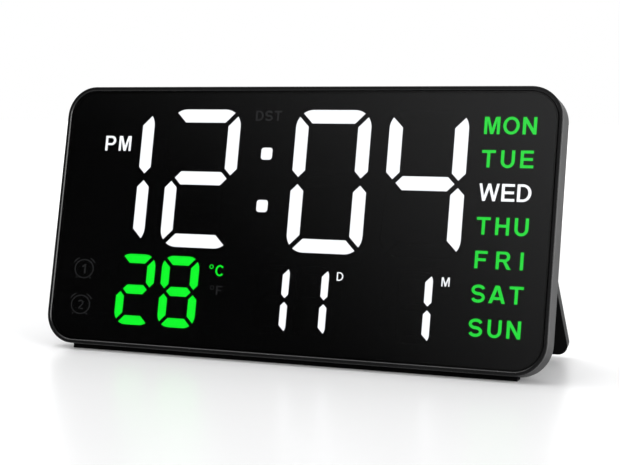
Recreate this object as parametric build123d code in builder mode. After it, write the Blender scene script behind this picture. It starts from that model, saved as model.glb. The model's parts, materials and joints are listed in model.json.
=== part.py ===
from build123d import *
import os
from dataclasses import dataclass
from math import cos, hypot, radians, sin, sqrt, tan

# A slim LED desk clock that leans back on a folding kickstand, in millimetres.
# X runs along the face, -Y is the front, +Z is up, and the clock stands on Z = 0.
# Places on the clock are given as a (along the face from its middle), b (up the face from the
# case's lower edge) and c (depth behind the rim's front).

# Seven-bar digits: cell size, bar width, corner radius and the gap between bars
TIME_WIDTH = 40.5
TIME_HEIGHT = 72.6
TIME_STROKE = 6.9
TIME_CORNER = 9.1
TIME_BAR_GAP = 2.6
TEMP_WIDTH = 21.6
TEMP_HEIGHT = 37.0
TEMP_STROKE = 4.7
TEMP_CORNER = 6.5
TEMP_BAR_GAP = 2.0
DATE_WIDTH = 17.0
DATE_HEIGHT = 34.75
DATE_STROKE = 3.75
DATE_CORNER = 4.5
DATE_BAR_GAP = 1.4

# Time row, from the case's left edge to its right edge
PM_MARGIN = 23.95
PM_WIDTH = 15.6
PM_GAP = 6.0
DIGIT_GAP = 9.6
COLON_LEFT_GAP = 16.0
COLON_RIGHT_GAP = 15.0
DAY_GAP = 7.3
DAY_WIDTH = 25.8
DAY_EDGE = 3.95

# Lower row, from the case's left edge
BELL_EDGE = 2.75
BELL_WIDTH = 14.0
TEMP_GAP = 13.85
TEMP_DIGIT_GAP = 3.9
UNIT_GAP = 5.75
UNIT_WIDTH = 7.9
DATE_GAP = 20.0
DATE_DIGIT_GAP = 4.1
LETTER_GAP = 3.8
LETTER_WIDTH = 4.5
MONTH_GAP = 20.5

# Rows, from the case's lower edge to its upper edge
BOTTOM_EDGE = 4.9
DATE_RISE = 0.1
ROW_GAP = 4.8
TOP_EDGE = 4.7

# Windows behind words and signs
TILE_EDGE = 0.7
TILE_CORNER = 1.0
DAY_COUNT = 7
DAY_HEIGHT = 8.8
DAY_TOP_INSET = 2.9
DAY_BOTTOM_INSET = 5.3
PM_HEIGHT = 8.0
PM_DROP = 18.6
DST_WIDTH = 14.6
DST_HEIGHT = 6.4
DOT_WIDTH = 6.2
DOT_CORNER = 1.5
DOT_SPREAD = 13.5
BELL_HEIGHT = 15.0
BELL_ROW_GAP = 4.1
BELL_RISE = 1.3
UNIT_HEIGHT = 7.0
UNIT_ROW_GAP = 1.8
UNIT_DROP = 6.0
LETTER_HEIGHT = 5.0
LETTER_DROP = 1.6

# Front frame and lens
CASE_CORNER = 16.0
CASE_WALL = 2.0
RIM_FILLET = 0.45
RIM_CHAMFER = 0.4
BACK_FILLET = 0.6
LENS_RECESS = 0.55
LENS_THICK = 2.0
LENS_GAP = 0.2
LENS_CHAMFER = 0.2
LEDGE_THICK = 1.2
LEAN = 13.0

# Layers behind the lens
LENS_BOND = 0.05
FILM_THICK = 0.25
REFLECTOR_THICK = 5.35
REFLECTOR_CLEARANCE = 0.6
REFLECTOR_END = 7.0
REFLECTOR_CHAMFER = 9.0
REFLECTOR_GAP = 0.4
GUIDE_THICK = 2.0
GUIDE_FIT = 0.1
BOARD_THICK = 1.6
BOARD_INSET = 0.2
LED_LONG = 2.0
LED_SHORT = 1.6
LED_HEIGHT = 0.8
LED_SPREAD = 6.5
DAY_LED_PITCH = 8.0

# Parts on the back of the board
LOW_PART_HEIGHT = 2.0
LOW_PART_CLEARANCE = 0.2
LOW_PART_RISE = 18.3
CHIP_SIZE = 10.0
CHIP_HEIGHT = 1.5
LEAD_LENGTH = 1.0
LEAD_WIDTH = 0.35
LEAD_HEIGHT = 0.3
LEAD_COUNT = 8
LEAD_PITCH = 1.0
DRIVER_LENGTH = 17.9
DRIVER_WIDTH = 7.5
DRIVER_LEADS = 14
DRIVER_PITCH = 40.0
CLOCK_CHIP_LENGTH = 5.0
CLOCK_CHIP_WIDTH = 4.0
CLOCK_CHIP_LEADS = 4
CHIP_GAP = 22.0
CRYSTAL_RADIUS = 0.9
CRYSTAL_LENGTH = 6.0
CRYSTAL_RISE = 9.0
PASSIVE_LONG = 1.6
PASSIVE_SHORT = 0.8
PASSIVE_HEIGHT = 0.6
PASSIVE_COUNT = 8
PASSIVE_ROWS = 2
PASSIVE_PITCH = 6.0
CAPACITOR_RADIUS = 3.15
CAPACITOR_HEIGHT = 7.0
CAPACITOR_BASE = 6.6
CAPACITOR_BASE_HEIGHT = 0.8
BUZZER_RADIUS = 6.0
BUZZER_HEIGHT = 6.5
BUZZER_HOLE = 1.0
BEAD_RADIUS = 1.4
BEAD_GAP = 1.85
BEAD_LEAD_RADIUS = 0.3
BEAD_LEAD_PITCH = 1.5
USB_WIDTH = 8.9
USB_HEIGHT = 3.3
USB_SHELL = 0.3
USB_MOUTH = 6.5
USB_TONGUE_WIDTH = 6.7
USB_TONGUE_HEIGHT = 0.7
USB_TONGUE_SET_BACK = 1.0
USB_SET_BACK = 0.4
USB_FIT = 0.4
TACT_SIZE = 6.0
TACT_HEIGHT = 3.5
PLUNGER_RADIUS = 1.75
PLUNGER_HEIGHT = 3.5

# Coin cell and its quarter-turn door
CELL_RADIUS = 8.0
CELL_THICK = 3.2
CELL_FIT = 0.15
CELL_CHAMFER = 0.3
CONTACT_THICK = 0.3
CONTACT_WIDTH = 5.0
HOLDER_WALL = 1.2
DOOR_LIP = 1.0
DOOR_GAP = 0.2
DOOR_TAB_REACH = 2.0
DOOR_TAB_WIDTH = 4.5
DOOR_TAB_THICK = 1.2
DOOR_TURN = 40.0
DOOR_SLOT_LENGTH = 11.0
DOOR_SLOT_WIDTH = 1.8
DOOR_SLOT_DEPTH = 1.0
INNER_GAP = 0.1
DOOR_STACK_GAP = 0.3

# Rear cover and its pod
COVER_THICK = 2.0
COVER_FIT = 0.2
REBATE_STEP = 0.8
POD_HEIGHT = 9.0
POD_TOP_MARGIN = 6.0
POD_CORNER = 6.0
POD_FILLET = 1.5
POD_SIDE_CLEARANCE = 0.15
VENT_SPACE = 6.5
CELL_SPACE = 3.5
BUTTON_ROW_SPACE = 13.5
BUTTON_SPACE = 5.0
BUZZER_SPACE = 10.5
USB_SPACE = 13.5
CAPACITOR_SPACE = 5.3
KEYHOLE_SPACE = 5.7
KEYHOLE_MARGIN = 16.0
KEYHOLE_RADIUS = 4.0
KEYHOLE_SLOT_RADIUS = 2.0
KEYHOLE_TRAVEL = 7.5
KEYHOLE_DROP = 3.0
VENT_COUNT = 4
VENT_LENGTH = 9.0
VENT_WIDTH = 1.4
VENT_PITCH = 3.2
SOUND_HOLE = 0.8
SOUND_RING = 3.0
SOUND_COUNT = 6
REST_RADIUS = 3.0
REST_RISE = 20.0
REST_GAP = 0.15

# Buttons on the pod
BUTTON_NAMES = ["set_button", "alarm_button", "up_button", "down_button", "light_button"]
BUTTON_RADIUS = 4.5
BUTTON_GAP = 0.15
BUTTON_FLANGE = 1.0
BUTTON_FLANGE_THICK = 1.0
BUTTON_PROUD = 1.2
BUTTON_FILLET = 0.5
BUTTON_STEM = 2.0
BUTTON_TRAVEL = 0.4
PLUNGER_CLEARANCE = 0.05

# Kickstand and its hinge
LEG_ANGLE = 18.8
STAND_THICK = 5.5
STAND_TOP_INSET = 16.3
STAND_FOOT_INSET = 4.2
STAND_CORNER = 5.5
STAND_TOP_CORNER = 3.0
STAND_FILLET = 0.7
STAND_WEB = 2.5
STAND_RIB = 6.0
STAND_RIB_A = 60.0
STAND_POCKET_TOP = 16.0
STAND_POCKET_END = 9.0
STAND_POCKET_SIDE = 12.0
STAND_POCKET_CORNER = 3.0
STOP_GAP = 0.2
HEEL_CLEARANCE = 0.5
BARREL_RADIUS = 4.5
BARREL_CLEARANCE = 0.5
BARREL_LENGTH = 11.4
BARREL_EDGE = 21.6
LUG_THICK = 4.0
LUG_GAP = 0.3
NOTCH_MARGIN = 2.0
PIN_RADIUS = 1.5
PIN_FIT = 0.05
TIP_CLEARANCE = 1.8
PAD_LENGTH = 34.0
PAD_EDGE = 21.3

# Base strip
BASE_GAP = 0.3
BASE_END = 14.5
BASE_WIDTH = 5.6
BASE_BACK_EDGE = 0.4
BASE_GROOVE = 0.8
BASE_FIT = 0.05

# Screws
CASE_SCREW_RADIUS = 1.25
CASE_SCREW_LENGTH = 8.0
CASE_SCREW_HEAD = 2.5
BOARD_SCREW_RADIUS = 1.0
BOARD_SCREW_LENGTH = 4.5
BOARD_SCREW_HEAD = 1.9
BOARD_SCREW_HEAD_HEIGHT = 1.2
SCREW_FIT = 0.1
RECESS_SHARE = 0.55
RECESS_WIDTH = 0.5
RECESS_DEPTH = 0.8
BOSS_RADIUS = 3.2
BOSS_INSET = 3.0
BOARD_SCREW_INSET = 4.0


@dataclass(frozen=True)
class DigitStyle:
    """Size of a seven-bar digit."""

    width: float
    height: float
    stroke: float
    corner: float
    gap: float


@dataclass(frozen=True)
class Digit:
    """A digit on the face: its style, its cell's lower left corner, its bars, and which are lit."""

    style: DigitStyle
    left: float
    bottom: float
    bars: str
    lit: str


TIME = DigitStyle(TIME_WIDTH, TIME_HEIGHT, TIME_STROKE, TIME_CORNER, TIME_BAR_GAP)
TEMP = DigitStyle(TEMP_WIDTH, TEMP_HEIGHT, TEMP_STROKE, TEMP_CORNER, TEMP_BAR_GAP)
DATE = DigitStyle(DATE_WIDTH, DATE_HEIGHT, DATE_STROKE, DATE_CORNER, DATE_BAR_GAP)
ALL_BARS = "abcdefg"

# The reflector clears the bosses of the case screws, and the case is as large as the display
reflector_side = CASE_WALL + BOSS_INSET + BOSS_RADIUS + REFLECTOR_CLEARANCE
time_run = (
    PM_MARGIN + PM_WIDTH + PM_GAP + TIME_STROKE + 2 * DIGIT_GAP + 3 * TIME_WIDTH
    + COLON_LEFT_GAP + COLON_RIGHT_GAP
)
lower_run = (
    reflector_side + BELL_EDGE + BELL_WIDTH + TEMP_GAP + 2 * TEMP_WIDTH + TEMP_DIGIT_GAP + UNIT_GAP
    + UNIT_WIDTH + DATE_GAP + 3 * DATE_WIDTH + DATE_STROKE + 2 * DATE_DIGIT_GAP
    + 2 * (LETTER_GAP + LETTER_WIDTH) + MONTH_GAP
)
lower_height = max(TEMP_HEIGHT, DATE_RISE + DATE_HEIGHT)
display_height = lower_height + ROW_GAP + TIME_HEIGHT
CASE_WIDTH = max(time_run, lower_run) + DAY_GAP + DAY_WIDTH + DAY_EDGE + reflector_side
CASE_HEIGHT = 2 * REFLECTOR_END + BOTTOM_EDGE + display_height + TOP_EDGE
LEFT = -CASE_WIDTH / 2
display_bottom = REFLECTOR_END + BOTTOM_EDGE

# Places along the time row
pm_left = LEFT + PM_MARGIN
half_right = pm_left + PM_WIDTH + PM_GAP + TIME_STROKE
hour_left = half_right + DIGIT_GAP
colon_a = hour_left + TIME_WIDTH + COLON_LEFT_GAP
minute_tens_left = colon_a + COLON_RIGHT_GAP
dst_a = (hour_left + TIME_WIDTH + minute_tens_left) / 2
minute_left = minute_tens_left + TIME_WIDTH + DIGIT_GAP
day_left = LEFT + max(time_run, lower_run) + DAY_GAP
lower_top = display_bottom + lower_height
time_bottom = lower_top + ROW_GAP
time_top = time_bottom + TIME_HEIGHT
time_middle = time_bottom + TIME_HEIGHT / 2

# Places along the lower row
bell_a = LEFT + reflector_side + BELL_EDGE + BELL_WIDTH / 2
temp_left = bell_a + BELL_WIDTH / 2 + TEMP_GAP
temp_second_left = temp_left + TEMP_WIDTH + TEMP_DIGIT_GAP
unit_left = temp_second_left + TEMP_WIDTH + UNIT_GAP
date_left = unit_left + UNIT_WIDTH + DATE_GAP
date_second_left = date_left + DATE_WIDTH + DATE_DIGIT_GAP
day_letter_left = date_second_left + DATE_WIDTH + LETTER_GAP
month_half_right = day_letter_left + LETTER_WIDTH + MONTH_GAP + DATE_STROKE
month_left = month_half_right + DATE_DIGIT_GAP
month_letter_left = month_left + DATE_WIDTH + LETTER_GAP
date_bottom = display_bottom + DATE_RISE

# The time and date that the clock shows
hour_digits = [
    Digit(TIME, half_right - TIME_WIDTH, time_bottom, "bc", "bc"),
    Digit(TIME, hour_left, time_bottom, ALL_BARS, "abged"),
]
minute_digits = [
    Digit(TIME, minute_tens_left, time_bottom, ALL_BARS, "abcdef"),
    Digit(TIME, minute_left, time_bottom, ALL_BARS, "fgbc"),
]
temp_digits = [
    Digit(TEMP, temp_left, display_bottom, ALL_BARS, "abged"),
    Digit(TEMP, temp_second_left, display_bottom, ALL_BARS, ALL_BARS),
]
date_digits = [
    Digit(DATE, date_left, date_bottom, ALL_BARS, "bc"),
    Digit(DATE, date_second_left, date_bottom, ALL_BARS, "bc"),
    Digit(DATE, month_half_right - DATE_WIDTH, date_bottom, "bc", ""),
    Digit(DATE, month_left, date_bottom, ALL_BARS, "bc"),
]
all_digits = hour_digits + minute_digits + temp_digits + date_digits

# Depths behind the rim's front
film_front = LENS_RECESS + LENS_THICK + LENS_BOND
film_back = film_front + FILM_THICK
ledge_back = film_back + LEDGE_THICK
reflector_back = film_back + REFLECTOR_THICK
board_back = reflector_back + BOARD_THICK
cover_front = board_back + LOW_PART_HEIGHT + LOW_PART_CLEARANCE
rebate_wall = CASE_WALL - REBATE_STEP
CASE_DEPTH = cover_front + COVER_THICK
base_back = cover_front - BASE_BACK_EDGE
base_front = base_back - BASE_WIDTH
base_half = CASE_WIDTH / 2 - BASE_END
pod_back = CASE_DEPTH + POD_HEIGHT
pod_inner = pod_back - COVER_THICK

# The pod on the back, and the row of controls along it
door_radius = CELL_RADIUS + DOOR_LIP
tab_reach = door_radius + DOOR_TAB_REACH
holder_radius = CELL_RADIUS + CELL_FIT + HOLDER_WALL
pod_span = 2 * (max(door_radius + DOOR_GAP, holder_radius) + POD_SIDE_CLEARANCE + COVER_THICK)
pod_bottom = CASE_HEIGHT - POD_TOP_MARGIN - pod_span
control_b = pod_bottom + pod_span / 2
flange_radius = BUTTON_RADIUS + BUTTON_FLANGE
button_pitch = 2 * flange_radius + BUTTON_SPACE
buttons_run = button_pitch * (len(BUTTON_NAMES) - 1)
vent_step = KEYHOLE_RADIUS + VENT_SPACE + VENT_LENGTH / 2
cell_step = VENT_LENGTH / 2 + CELL_SPACE + tab_reach
button_step = tab_reach + BUTTON_ROW_SPACE + flange_radius
buzzer_step = flange_radius + BUZZER_SPACE + BUZZER_RADIUS
usb_step = BUZZER_RADIUS + USB_SPACE + USB_WIDTH / 2
capacitor_step = USB_WIDTH / 2 + CAPACITOR_SPACE + CAPACITOR_BASE / 2
keyhole_step = CAPACITOR_BASE / 2 + KEYHOLE_SPACE + KEYHOLE_RADIUS
keyhole_spacing = (
    vent_step + cell_step + button_step + buttons_run
    + buzzer_step + usb_step + capacitor_step + keyhole_step
)
vent_a = -keyhole_spacing / 2 + vent_step
cell_a = vent_a + cell_step
first_button_a = cell_a + button_step
buzzer_a = first_button_a + buttons_run + buzzer_step
usb_a = buzzer_a + usb_step
capacitor_a = usb_a + capacitor_step
pod_width = keyhole_spacing + 2 * KEYHOLE_MARGIN

# The kickstand's hinge, and how high its heel stands to meet the cover when the stand is open
lean = radians(LEAN)
leg = radians(LEG_ANGLE)
open_angle = lean + leg
hinge_offset = BARREL_RADIUS + BARREL_CLEARANCE
heel = (hinge_offset - STOP_GAP - STAND_THICK / 2 * cos(open_angle)) / sin(open_angle)
hinge_drop = hypot(heel, STAND_THICK / 2) + HEEL_CLEARANCE
hinge_b = pod_bottom - hinge_drop
hinge_c = CASE_DEPTH + hinge_offset

# How the face stands over the floor, and where the stand reaches it
front_edge_z = BASE_GAP + CASE_DEPTH * sin(lean)
hinge_y = hinge_b * sin(lean) + hinge_c * cos(lean)
hinge_z = front_edge_z + hinge_b * cos(lean) - hinge_c * sin(lean)
leg_length = (hinge_z - TIP_CLEARANCE - STAND_THICK / 2 * sin(leg)) / cos(leg)
reach = hinge_y + STAND_THICK / 2 * cos(leg) + (hinge_z + STAND_THICK / 2 * sin(leg)) * tan(leg)

# The origin is midway between the rim's foremost point and the stand's foot
rim_setback = RIM_FILLET * (sin(lean) + cos(lean) - 1)
front_y = -(reach + rim_setback) / 2
face = Plane(origin=(0, front_y, front_edge_z), x_dir=(1, 0, 0), z_dir=(0, -cos(lean), sin(lean)))
stand_plane = Plane(
    origin=(0, front_y + hinge_y, hinge_z), x_dir=(1, 0, 0), z_dir=(0, -cos(leg), -sin(leg))
)
front_axis = Axis((0, 0, 0), face.z_dir)


def layer(c):
    """Plane parallel to the face at depth c, looking forwards, with (a, b) as its coordinates."""
    return face.offset(-c)


def back_layer(c):
    """Plane parallel to the face at depth c, looking backwards, with (-a, b) as its coordinates."""
    return Plane(origin=layer(c).origin, x_dir=(-1, 0, 0), z_dir=-face.z_dir)


def side_plane(a):
    """Plane across the clock at a, with (c, b) as its coordinates."""
    return Plane(origin=face.from_local_coords((a, 0, 0)), x_dir=-face.z_dir, z_dir=(1, 0, 0))


def save(part, name):
    """Label a finished piece and write it."""
    part.label = name
    export_step(part, f"parts/{name}.step")


def case_outline(inset):
    """The case's rounded outline, drawn in by inset."""
    with BuildSketch() as outline:
        with Locations((0, CASE_HEIGHT / 2)):
            RectangleRounded(CASE_WIDTH - 2 * inset, CASE_HEIGHT - 2 * inset, CASE_CORNER - inset)
    return outline.sketch


def reflector_outline(grow):
    """The reflector's outline with cut corners, grown all round by grow."""
    with BuildSketch() as outline:
        with Locations((0, CASE_HEIGHT / 2)):
            Rectangle(
                CASE_WIDTH - 2 * reflector_side + 2 * grow, CASE_HEIGHT - 2 * REFLECTOR_END + 2 * grow
            )
        chamfer(outline.vertices(), REFLECTOR_CHAMFER)
    return outline.sketch


def bar_points(style, bar, grow):
    """Corners of one bar of a digit, before the digit's own corners are rounded."""
    w = style.width + 2 * grow
    h = style.height + 2 * grow
    t = style.stroke + 2 * grow
    g = (style.gap / 2 - grow) * sqrt(2)
    middle = h / 2
    upper_left = [
        (0, h - g), (t, h - t - g), (t, middle + t / 2 + g), (t / 2, middle + g), (0, middle + t / 2 + g)
    ]
    top = [(g, h), (w - g, h), (w - t - g, h - t), (t + g, h - t)]
    across = [
        (t / 2 + g, middle), (t + g, middle + t / 2), (w - t - g, middle + t / 2),
        (w - t / 2 - g, middle), (w - t - g, middle - t / 2), (t + g, middle - t / 2)
    ]
    corners = {
        "a": top,
        "b": [(w - x, y) for x, y in upper_left],
        "c": [(w - x, h - y) for x, y in upper_left],
        "d": [(x, h - y) for x, y in top],
        "e": [(x, h - y) for x, y in upper_left],
        "f": upper_left,
        "g": across,
    }
    return [(x - grow, y - grow) for x, y in corners[bar]]


def bar_sketch(style, bar, grow):
    """One bar with the digit's rounded corners, its cell's lower left corner at the origin."""
    with BuildSketch() as shape:
        with BuildLine():
            Polyline(*bar_points(style, bar, grow), close=True)
        make_face()
        with Locations((style.width / 2, style.height / 2)):
            RectangleRounded(
                style.width + 2 * grow, style.height + 2 * grow, style.corner + grow, mode=Mode.INTERSECT
            )
    return shape.sketch


def bars_sketch(digits, lit, grow=0.0):
    """The lit bars, or the dark ones, of some digits in their places on the face."""
    with BuildSketch() as shapes:
        for digit in digits:
            for bar in digit.bars:
                if (bar in digit.lit) == lit:
                    with Locations((digit.left, digit.bottom)):
                        add(bar_sketch(digit.style, bar, grow))
    return shapes.sketch


def tiles_sketch(tiles, grow=0.0):
    """Rounded windows, each given as middle a, middle b, width, height and corner radius."""
    with BuildSketch() as shapes:
        for a, b, width, height, corner in tiles:
            with Locations((a, b)):
                RectangleRounded(width + 2 * grow, height + 2 * grow, corner + grow)
    return shapes.sketch


def word_tile(left, b, width, height):
    """A window round a word or sign of the given size."""
    return (left + width / 2, b, width + 2 * TILE_EDGE, height + 2 * TILE_EDGE, TILE_CORNER)


def bar_middle(digit, bar):
    """Middle of a bar on the face."""
    w, h, t = digit.style.width, digit.style.height, digit.style.stroke
    across = {"a": w / 2, "d": w / 2, "g": w / 2, "b": w - t / 2, "c": w - t / 2, "e": t / 2, "f": t / 2}
    up = {"a": h - t / 2, "b": h * 0.75, "c": h * 0.25, "d": t / 2, "e": h * 0.25, "f": h * 0.75, "g": h / 2}
    return digit.left + across[bar], digit.bottom + up[bar]


def bar_led_places(digits, spread):
    """Places of the LEDs behind each bar: two along a large bar, or one where spread is 0."""
    places = []
    for digit in digits:
        for bar in digit.bars:
            a, b = bar_middle(digit, bar)
            step_a, step_b = (spread, 0) if bar in "adg" else (0, spread)
            places.append((a + step_a, b + step_b))
            if spread > 0:
                places.append((a - step_a, b - step_b))
    return places


def countersunk_screw():
    """Case screw with a flush head at Z = 0, its point down, and a cross recess."""
    head_height = CASE_SCREW_HEAD - CASE_SCREW_RADIUS
    with BuildPart() as screw:
        with BuildSketch(Plane.XZ):
            with BuildLine():
                Polyline(
                    (0, 0), (CASE_SCREW_HEAD, 0), (CASE_SCREW_RADIUS, -head_height),
                    (CASE_SCREW_RADIUS, -CASE_SCREW_LENGTH), (0, -CASE_SCREW_LENGTH), close=True
                )
            make_face()
        revolve(axis=Axis.Z)
        with BuildSketch():
            cross_recess(CASE_SCREW_HEAD)
        extrude(amount=-RECESS_DEPTH, mode=Mode.SUBTRACT)
    return screw.part


def pan_screw():
    """Board screw whose head stands on Z = 0, its point down, with a cross recess."""
    with BuildPart() as screw:
        with BuildSketch():
            Circle(BOARD_SCREW_HEAD)
        extrude(amount=BOARD_SCREW_HEAD_HEIGHT)
        chamfer(screw.edges().group_by(Axis.Z)[-1], BOARD_SCREW_HEAD_HEIGHT / 3)
        with BuildSketch():
            Circle(BOARD_SCREW_RADIUS)
        extrude(amount=-BOARD_SCREW_LENGTH)
        with BuildSketch(Plane.XY.offset(BOARD_SCREW_HEAD_HEIGHT)):
            cross_recess(BOARD_SCREW_HEAD)
        extrude(amount=-RECESS_DEPTH, mode=Mode.SUBTRACT)
    return screw.part


def cross_recess(head_radius):
    """Cross recess for the driver, in the open sketch."""
    length = 2 * head_radius * RECESS_SHARE
    Rectangle(length, RECESS_WIDTH)
    Rectangle(RECESS_WIDTH, length)


def chip_sketches(length, width, leads, both_ways):
    """Outlines of a chip's body and of its leads, round its own middle."""
    with BuildSketch() as body:
        Rectangle(length, width)
    with BuildSketch() as feet:
        with GridLocations(LEAD_PITCH, 1, leads, 1):
            Rectangle(LEAD_WIDTH, width + 2 * LEAD_LENGTH)
        if both_ways:
            with GridLocations(1, LEAD_PITCH, 1, leads):
                Rectangle(length + 2 * LEAD_LENGTH, LEAD_WIDTH)
    return body.sketch, feet.sketch


def chip_at(places, length, width, leads, height, both_ways=False):
    """Chips on the back of the board at the given places."""
    body, feet = chip_sketches(length, width, leads, both_ways)
    with BuildPart() as chips:
        with BuildSketch(layer(board_back)):
            with Locations(*places):
                add(body)
        extrude(amount=-height)
        with BuildSketch(layer(board_back)):
            with Locations(*places):
                add(feet)
        extrude(amount=-LEAD_HEIGHT)
    return chips.part


os.makedirs("parts", exist_ok=True)

# Windows of the display
day_step = (display_height - DAY_TOP_INSET - DAY_BOTTOM_INSET - DAY_HEIGHT) / (DAY_COUNT - 1)
day_rows = [time_top - DAY_TOP_INSET - DAY_HEIGHT / 2 - i * day_step for i in range(DAY_COUNT)]
day_tiles = [word_tile(day_left, b, DAY_WIDTH, DAY_HEIGHT) for b in day_rows]
dot_tiles = [
    (colon_a, time_middle + side * DOT_SPREAD, DOT_WIDTH, DOT_WIDTH, DOT_CORNER) for side in (1, -1)
]
bell_bottom = display_bottom + BELL_RISE + BELL_HEIGHT / 2
bell_rows = [bell_bottom + i * (BELL_HEIGHT + BELL_ROW_GAP) for i in (0, 1)]
white_tiles = [
    word_tile(pm_left, time_top - PM_DROP, PM_WIDTH, PM_HEIGHT),
    word_tile(dst_a - DST_WIDTH / 2, time_top - DST_HEIGHT / 2, DST_WIDTH, DST_HEIGHT),
    word_tile(day_letter_left, lower_top - LETTER_DROP - LETTER_HEIGHT, LETTER_WIDTH, LETTER_HEIGHT),
    word_tile(month_letter_left, lower_top - LETTER_DROP - LETTER_HEIGHT, LETTER_WIDTH, LETTER_HEIGHT),
]
white_tiles += [(bell_a, b, BELL_WIDTH, BELL_HEIGHT, TILE_CORNER) for b in bell_rows]
unit_step = UNIT_HEIGHT + 2 * TILE_EDGE + UNIT_ROW_GAP
unit_tiles = [
    word_tile(unit_left, lower_top - UNIT_DROP - i * unit_step, UNIT_WIDTH, UNIT_HEIGHT) for i in (0, 1)
]
bar_windows = [
    bars_sketch(all_digits, True, GUIDE_FIT),
    bars_sketch(all_digits, False, GUIDE_FIT),
    tiles_sketch(dot_tiles, GUIDE_FIT),
]
tile_windows = tiles_sketch(day_tiles + white_tiles + unit_tiles, GUIDE_FIT)

# Places of the screws
boss_reach = CASE_CORNER - CASE_WALL - BOSS_INSET
corner_a = CASE_WIDTH / 2 - CASE_CORNER + boss_reach / sqrt(2)
corner_b = CASE_CORNER - boss_reach / sqrt(2)
side_a = CASE_WIDTH / 2 - CASE_WALL - BOSS_INSET
case_screw_places = [
    (side * a, b)
    for side in (-1, 1)
    for a, b in ((corner_a, corner_b), (side_a, CASE_HEIGHT / 2), (corner_a, CASE_HEIGHT - corner_b))
]
board_screw_places = [
    (a, b)
    for a in (hour_left - DIGIT_GAP / 2, minute_left - DIGIT_GAP / 2)
    for b in (time_bottom + BOARD_SCREW_INSET, pod_bottom - BOARD_SCREW_INSET)
]
board_screw_places += [(colon_a, time_middle), (day_left - DAY_GAP / 2, time_middle)]

# Front frame: rim, side wall, the ledge that carries the lens and film, and bosses for the case screws
with BuildPart() as front_frame:
    with BuildSketch(layer(0)):
        add(case_outline(0))
    extrude(amount=-CASE_DEPTH)
    fillet(front_frame.faces().sort_by(front_axis)[-1].edges(), RIM_FILLET)
    fillet(front_frame.faces().sort_by(front_axis)[0].edges(), BACK_FILLET)
    with BuildSketch(layer(0)):
        add(case_outline(CASE_WALL))
    extrude(amount=-film_back, mode=Mode.SUBTRACT)
    with BuildSketch(layer(film_back)):
        add(reflector_outline(REFLECTOR_GAP))
    extrude(amount=film_back - ledge_back, mode=Mode.SUBTRACT)
    with BuildSketch(layer(ledge_back)):
        add(case_outline(CASE_WALL))
    extrude(amount=ledge_back - CASE_DEPTH, mode=Mode.SUBTRACT)
    with BuildSketch(layer(cover_front)):
        add(case_outline(rebate_wall))
    extrude(amount=-COVER_THICK, mode=Mode.SUBTRACT)
    rim = front_frame.faces().sort_by(front_axis)[-1]
    chamfer(rim.inner_wires()[0].edges(), RIM_CHAMFER)
    with BuildSketch(layer(ledge_back)):
        with Locations(*case_screw_places):
            Circle(BOSS_RADIUS)
    extrude(amount=ledge_back - cover_front)
    with BuildSketch(layer(cover_front)):
        with Locations(*case_screw_places):
            Circle(CASE_SCREW_RADIUS + SCREW_FIT)
    extrude(amount=CASE_SCREW_LENGTH - COVER_THICK + SCREW_FIT, mode=Mode.SUBTRACT)
    with BuildSketch(side_plane(0)):
        with Locations(((base_front + base_back) / 2, 0)):
            Rectangle(BASE_WIDTH + 2 * BASE_FIT, 2 * BASE_GROOVE)
    extrude(amount=base_half + BASE_FIT, both=True, mode=Mode.SUBTRACT)
save(front_frame.part, "front_frame")

# Smoked lens, set back in the rim, with the film bonded to its back
with BuildPart() as front_lens:
    with BuildSketch(layer(LENS_RECESS)):
        add(case_outline(CASE_WALL + LENS_GAP))
    extrude(amount=-LENS_THICK)
    chamfer(front_lens.faces().sort_by(front_axis)[-1].edges(), LENS_CHAMFER)
save(front_lens.part, "front_lens")

# Dark printed film over the whole back of the lens, on the ledge, with a clear window at each bar
with BuildPart() as legend_film:
    with BuildSketch(layer(film_front)):
        add(case_outline(CASE_WALL + LENS_GAP))
        for windows in bar_windows:
            add(windows, mode=Mode.SUBTRACT)
    extrude(amount=-FILM_THICK)
save(legend_film.part, "legend_film")

# Reflector block: one walled light well for each bar and each word
with BuildPart() as reflector_block:
    with BuildSketch(layer(film_back)):
        add(reflector_outline(0))
        for windows in bar_windows:
            add(windows, mode=Mode.SUBTRACT)
        add(tile_windows, mode=Mode.SUBTRACT)
    extrude(amount=-REFLECTOR_THICK)
    with BuildSketch(layer(reflector_back)):
        with Locations(*board_screw_places):
            Circle(BOARD_SCREW_RADIUS + SCREW_FIT)
    extrude(amount=BOARD_SCREW_LENGTH - BOARD_THICK + SCREW_FIT, mode=Mode.SUBTRACT)
save(reflector_block.part, "reflector_block")

# Diffusers in the light wells
diffusers = {
    "hour_segments": bars_sketch(hour_digits, True),
    "minute_segments": bars_sketch(minute_digits, True),
    "temperature_segments": bars_sketch(temp_digits, True),
    "date_segments": bars_sketch(date_digits, True),
    "idle_segments": bars_sketch(all_digits, False),
    "colon_dots": tiles_sketch(dot_tiles),
    "weekday_tiles": tiles_sketch(day_tiles),
    "indicator_tiles": tiles_sketch(white_tiles + unit_tiles),
}
for name, outline in diffusers.items():
    with BuildPart() as diffuser:
        with BuildSketch(layer(film_back)):
            add(outline)
        extrude(amount=-GUIDE_THICK)
    save(diffuser.part, name)

# Main board
with BuildPart() as main_board:
    with BuildSketch(layer(reflector_back)):
        add(reflector_outline(-BOARD_INSET))
        with Locations(*board_screw_places):
            Circle(BOARD_SCREW_RADIUS + SCREW_FIT, mode=Mode.SUBTRACT)
    extrude(amount=-BOARD_THICK)
save(main_board.part, "main_board")

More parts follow.
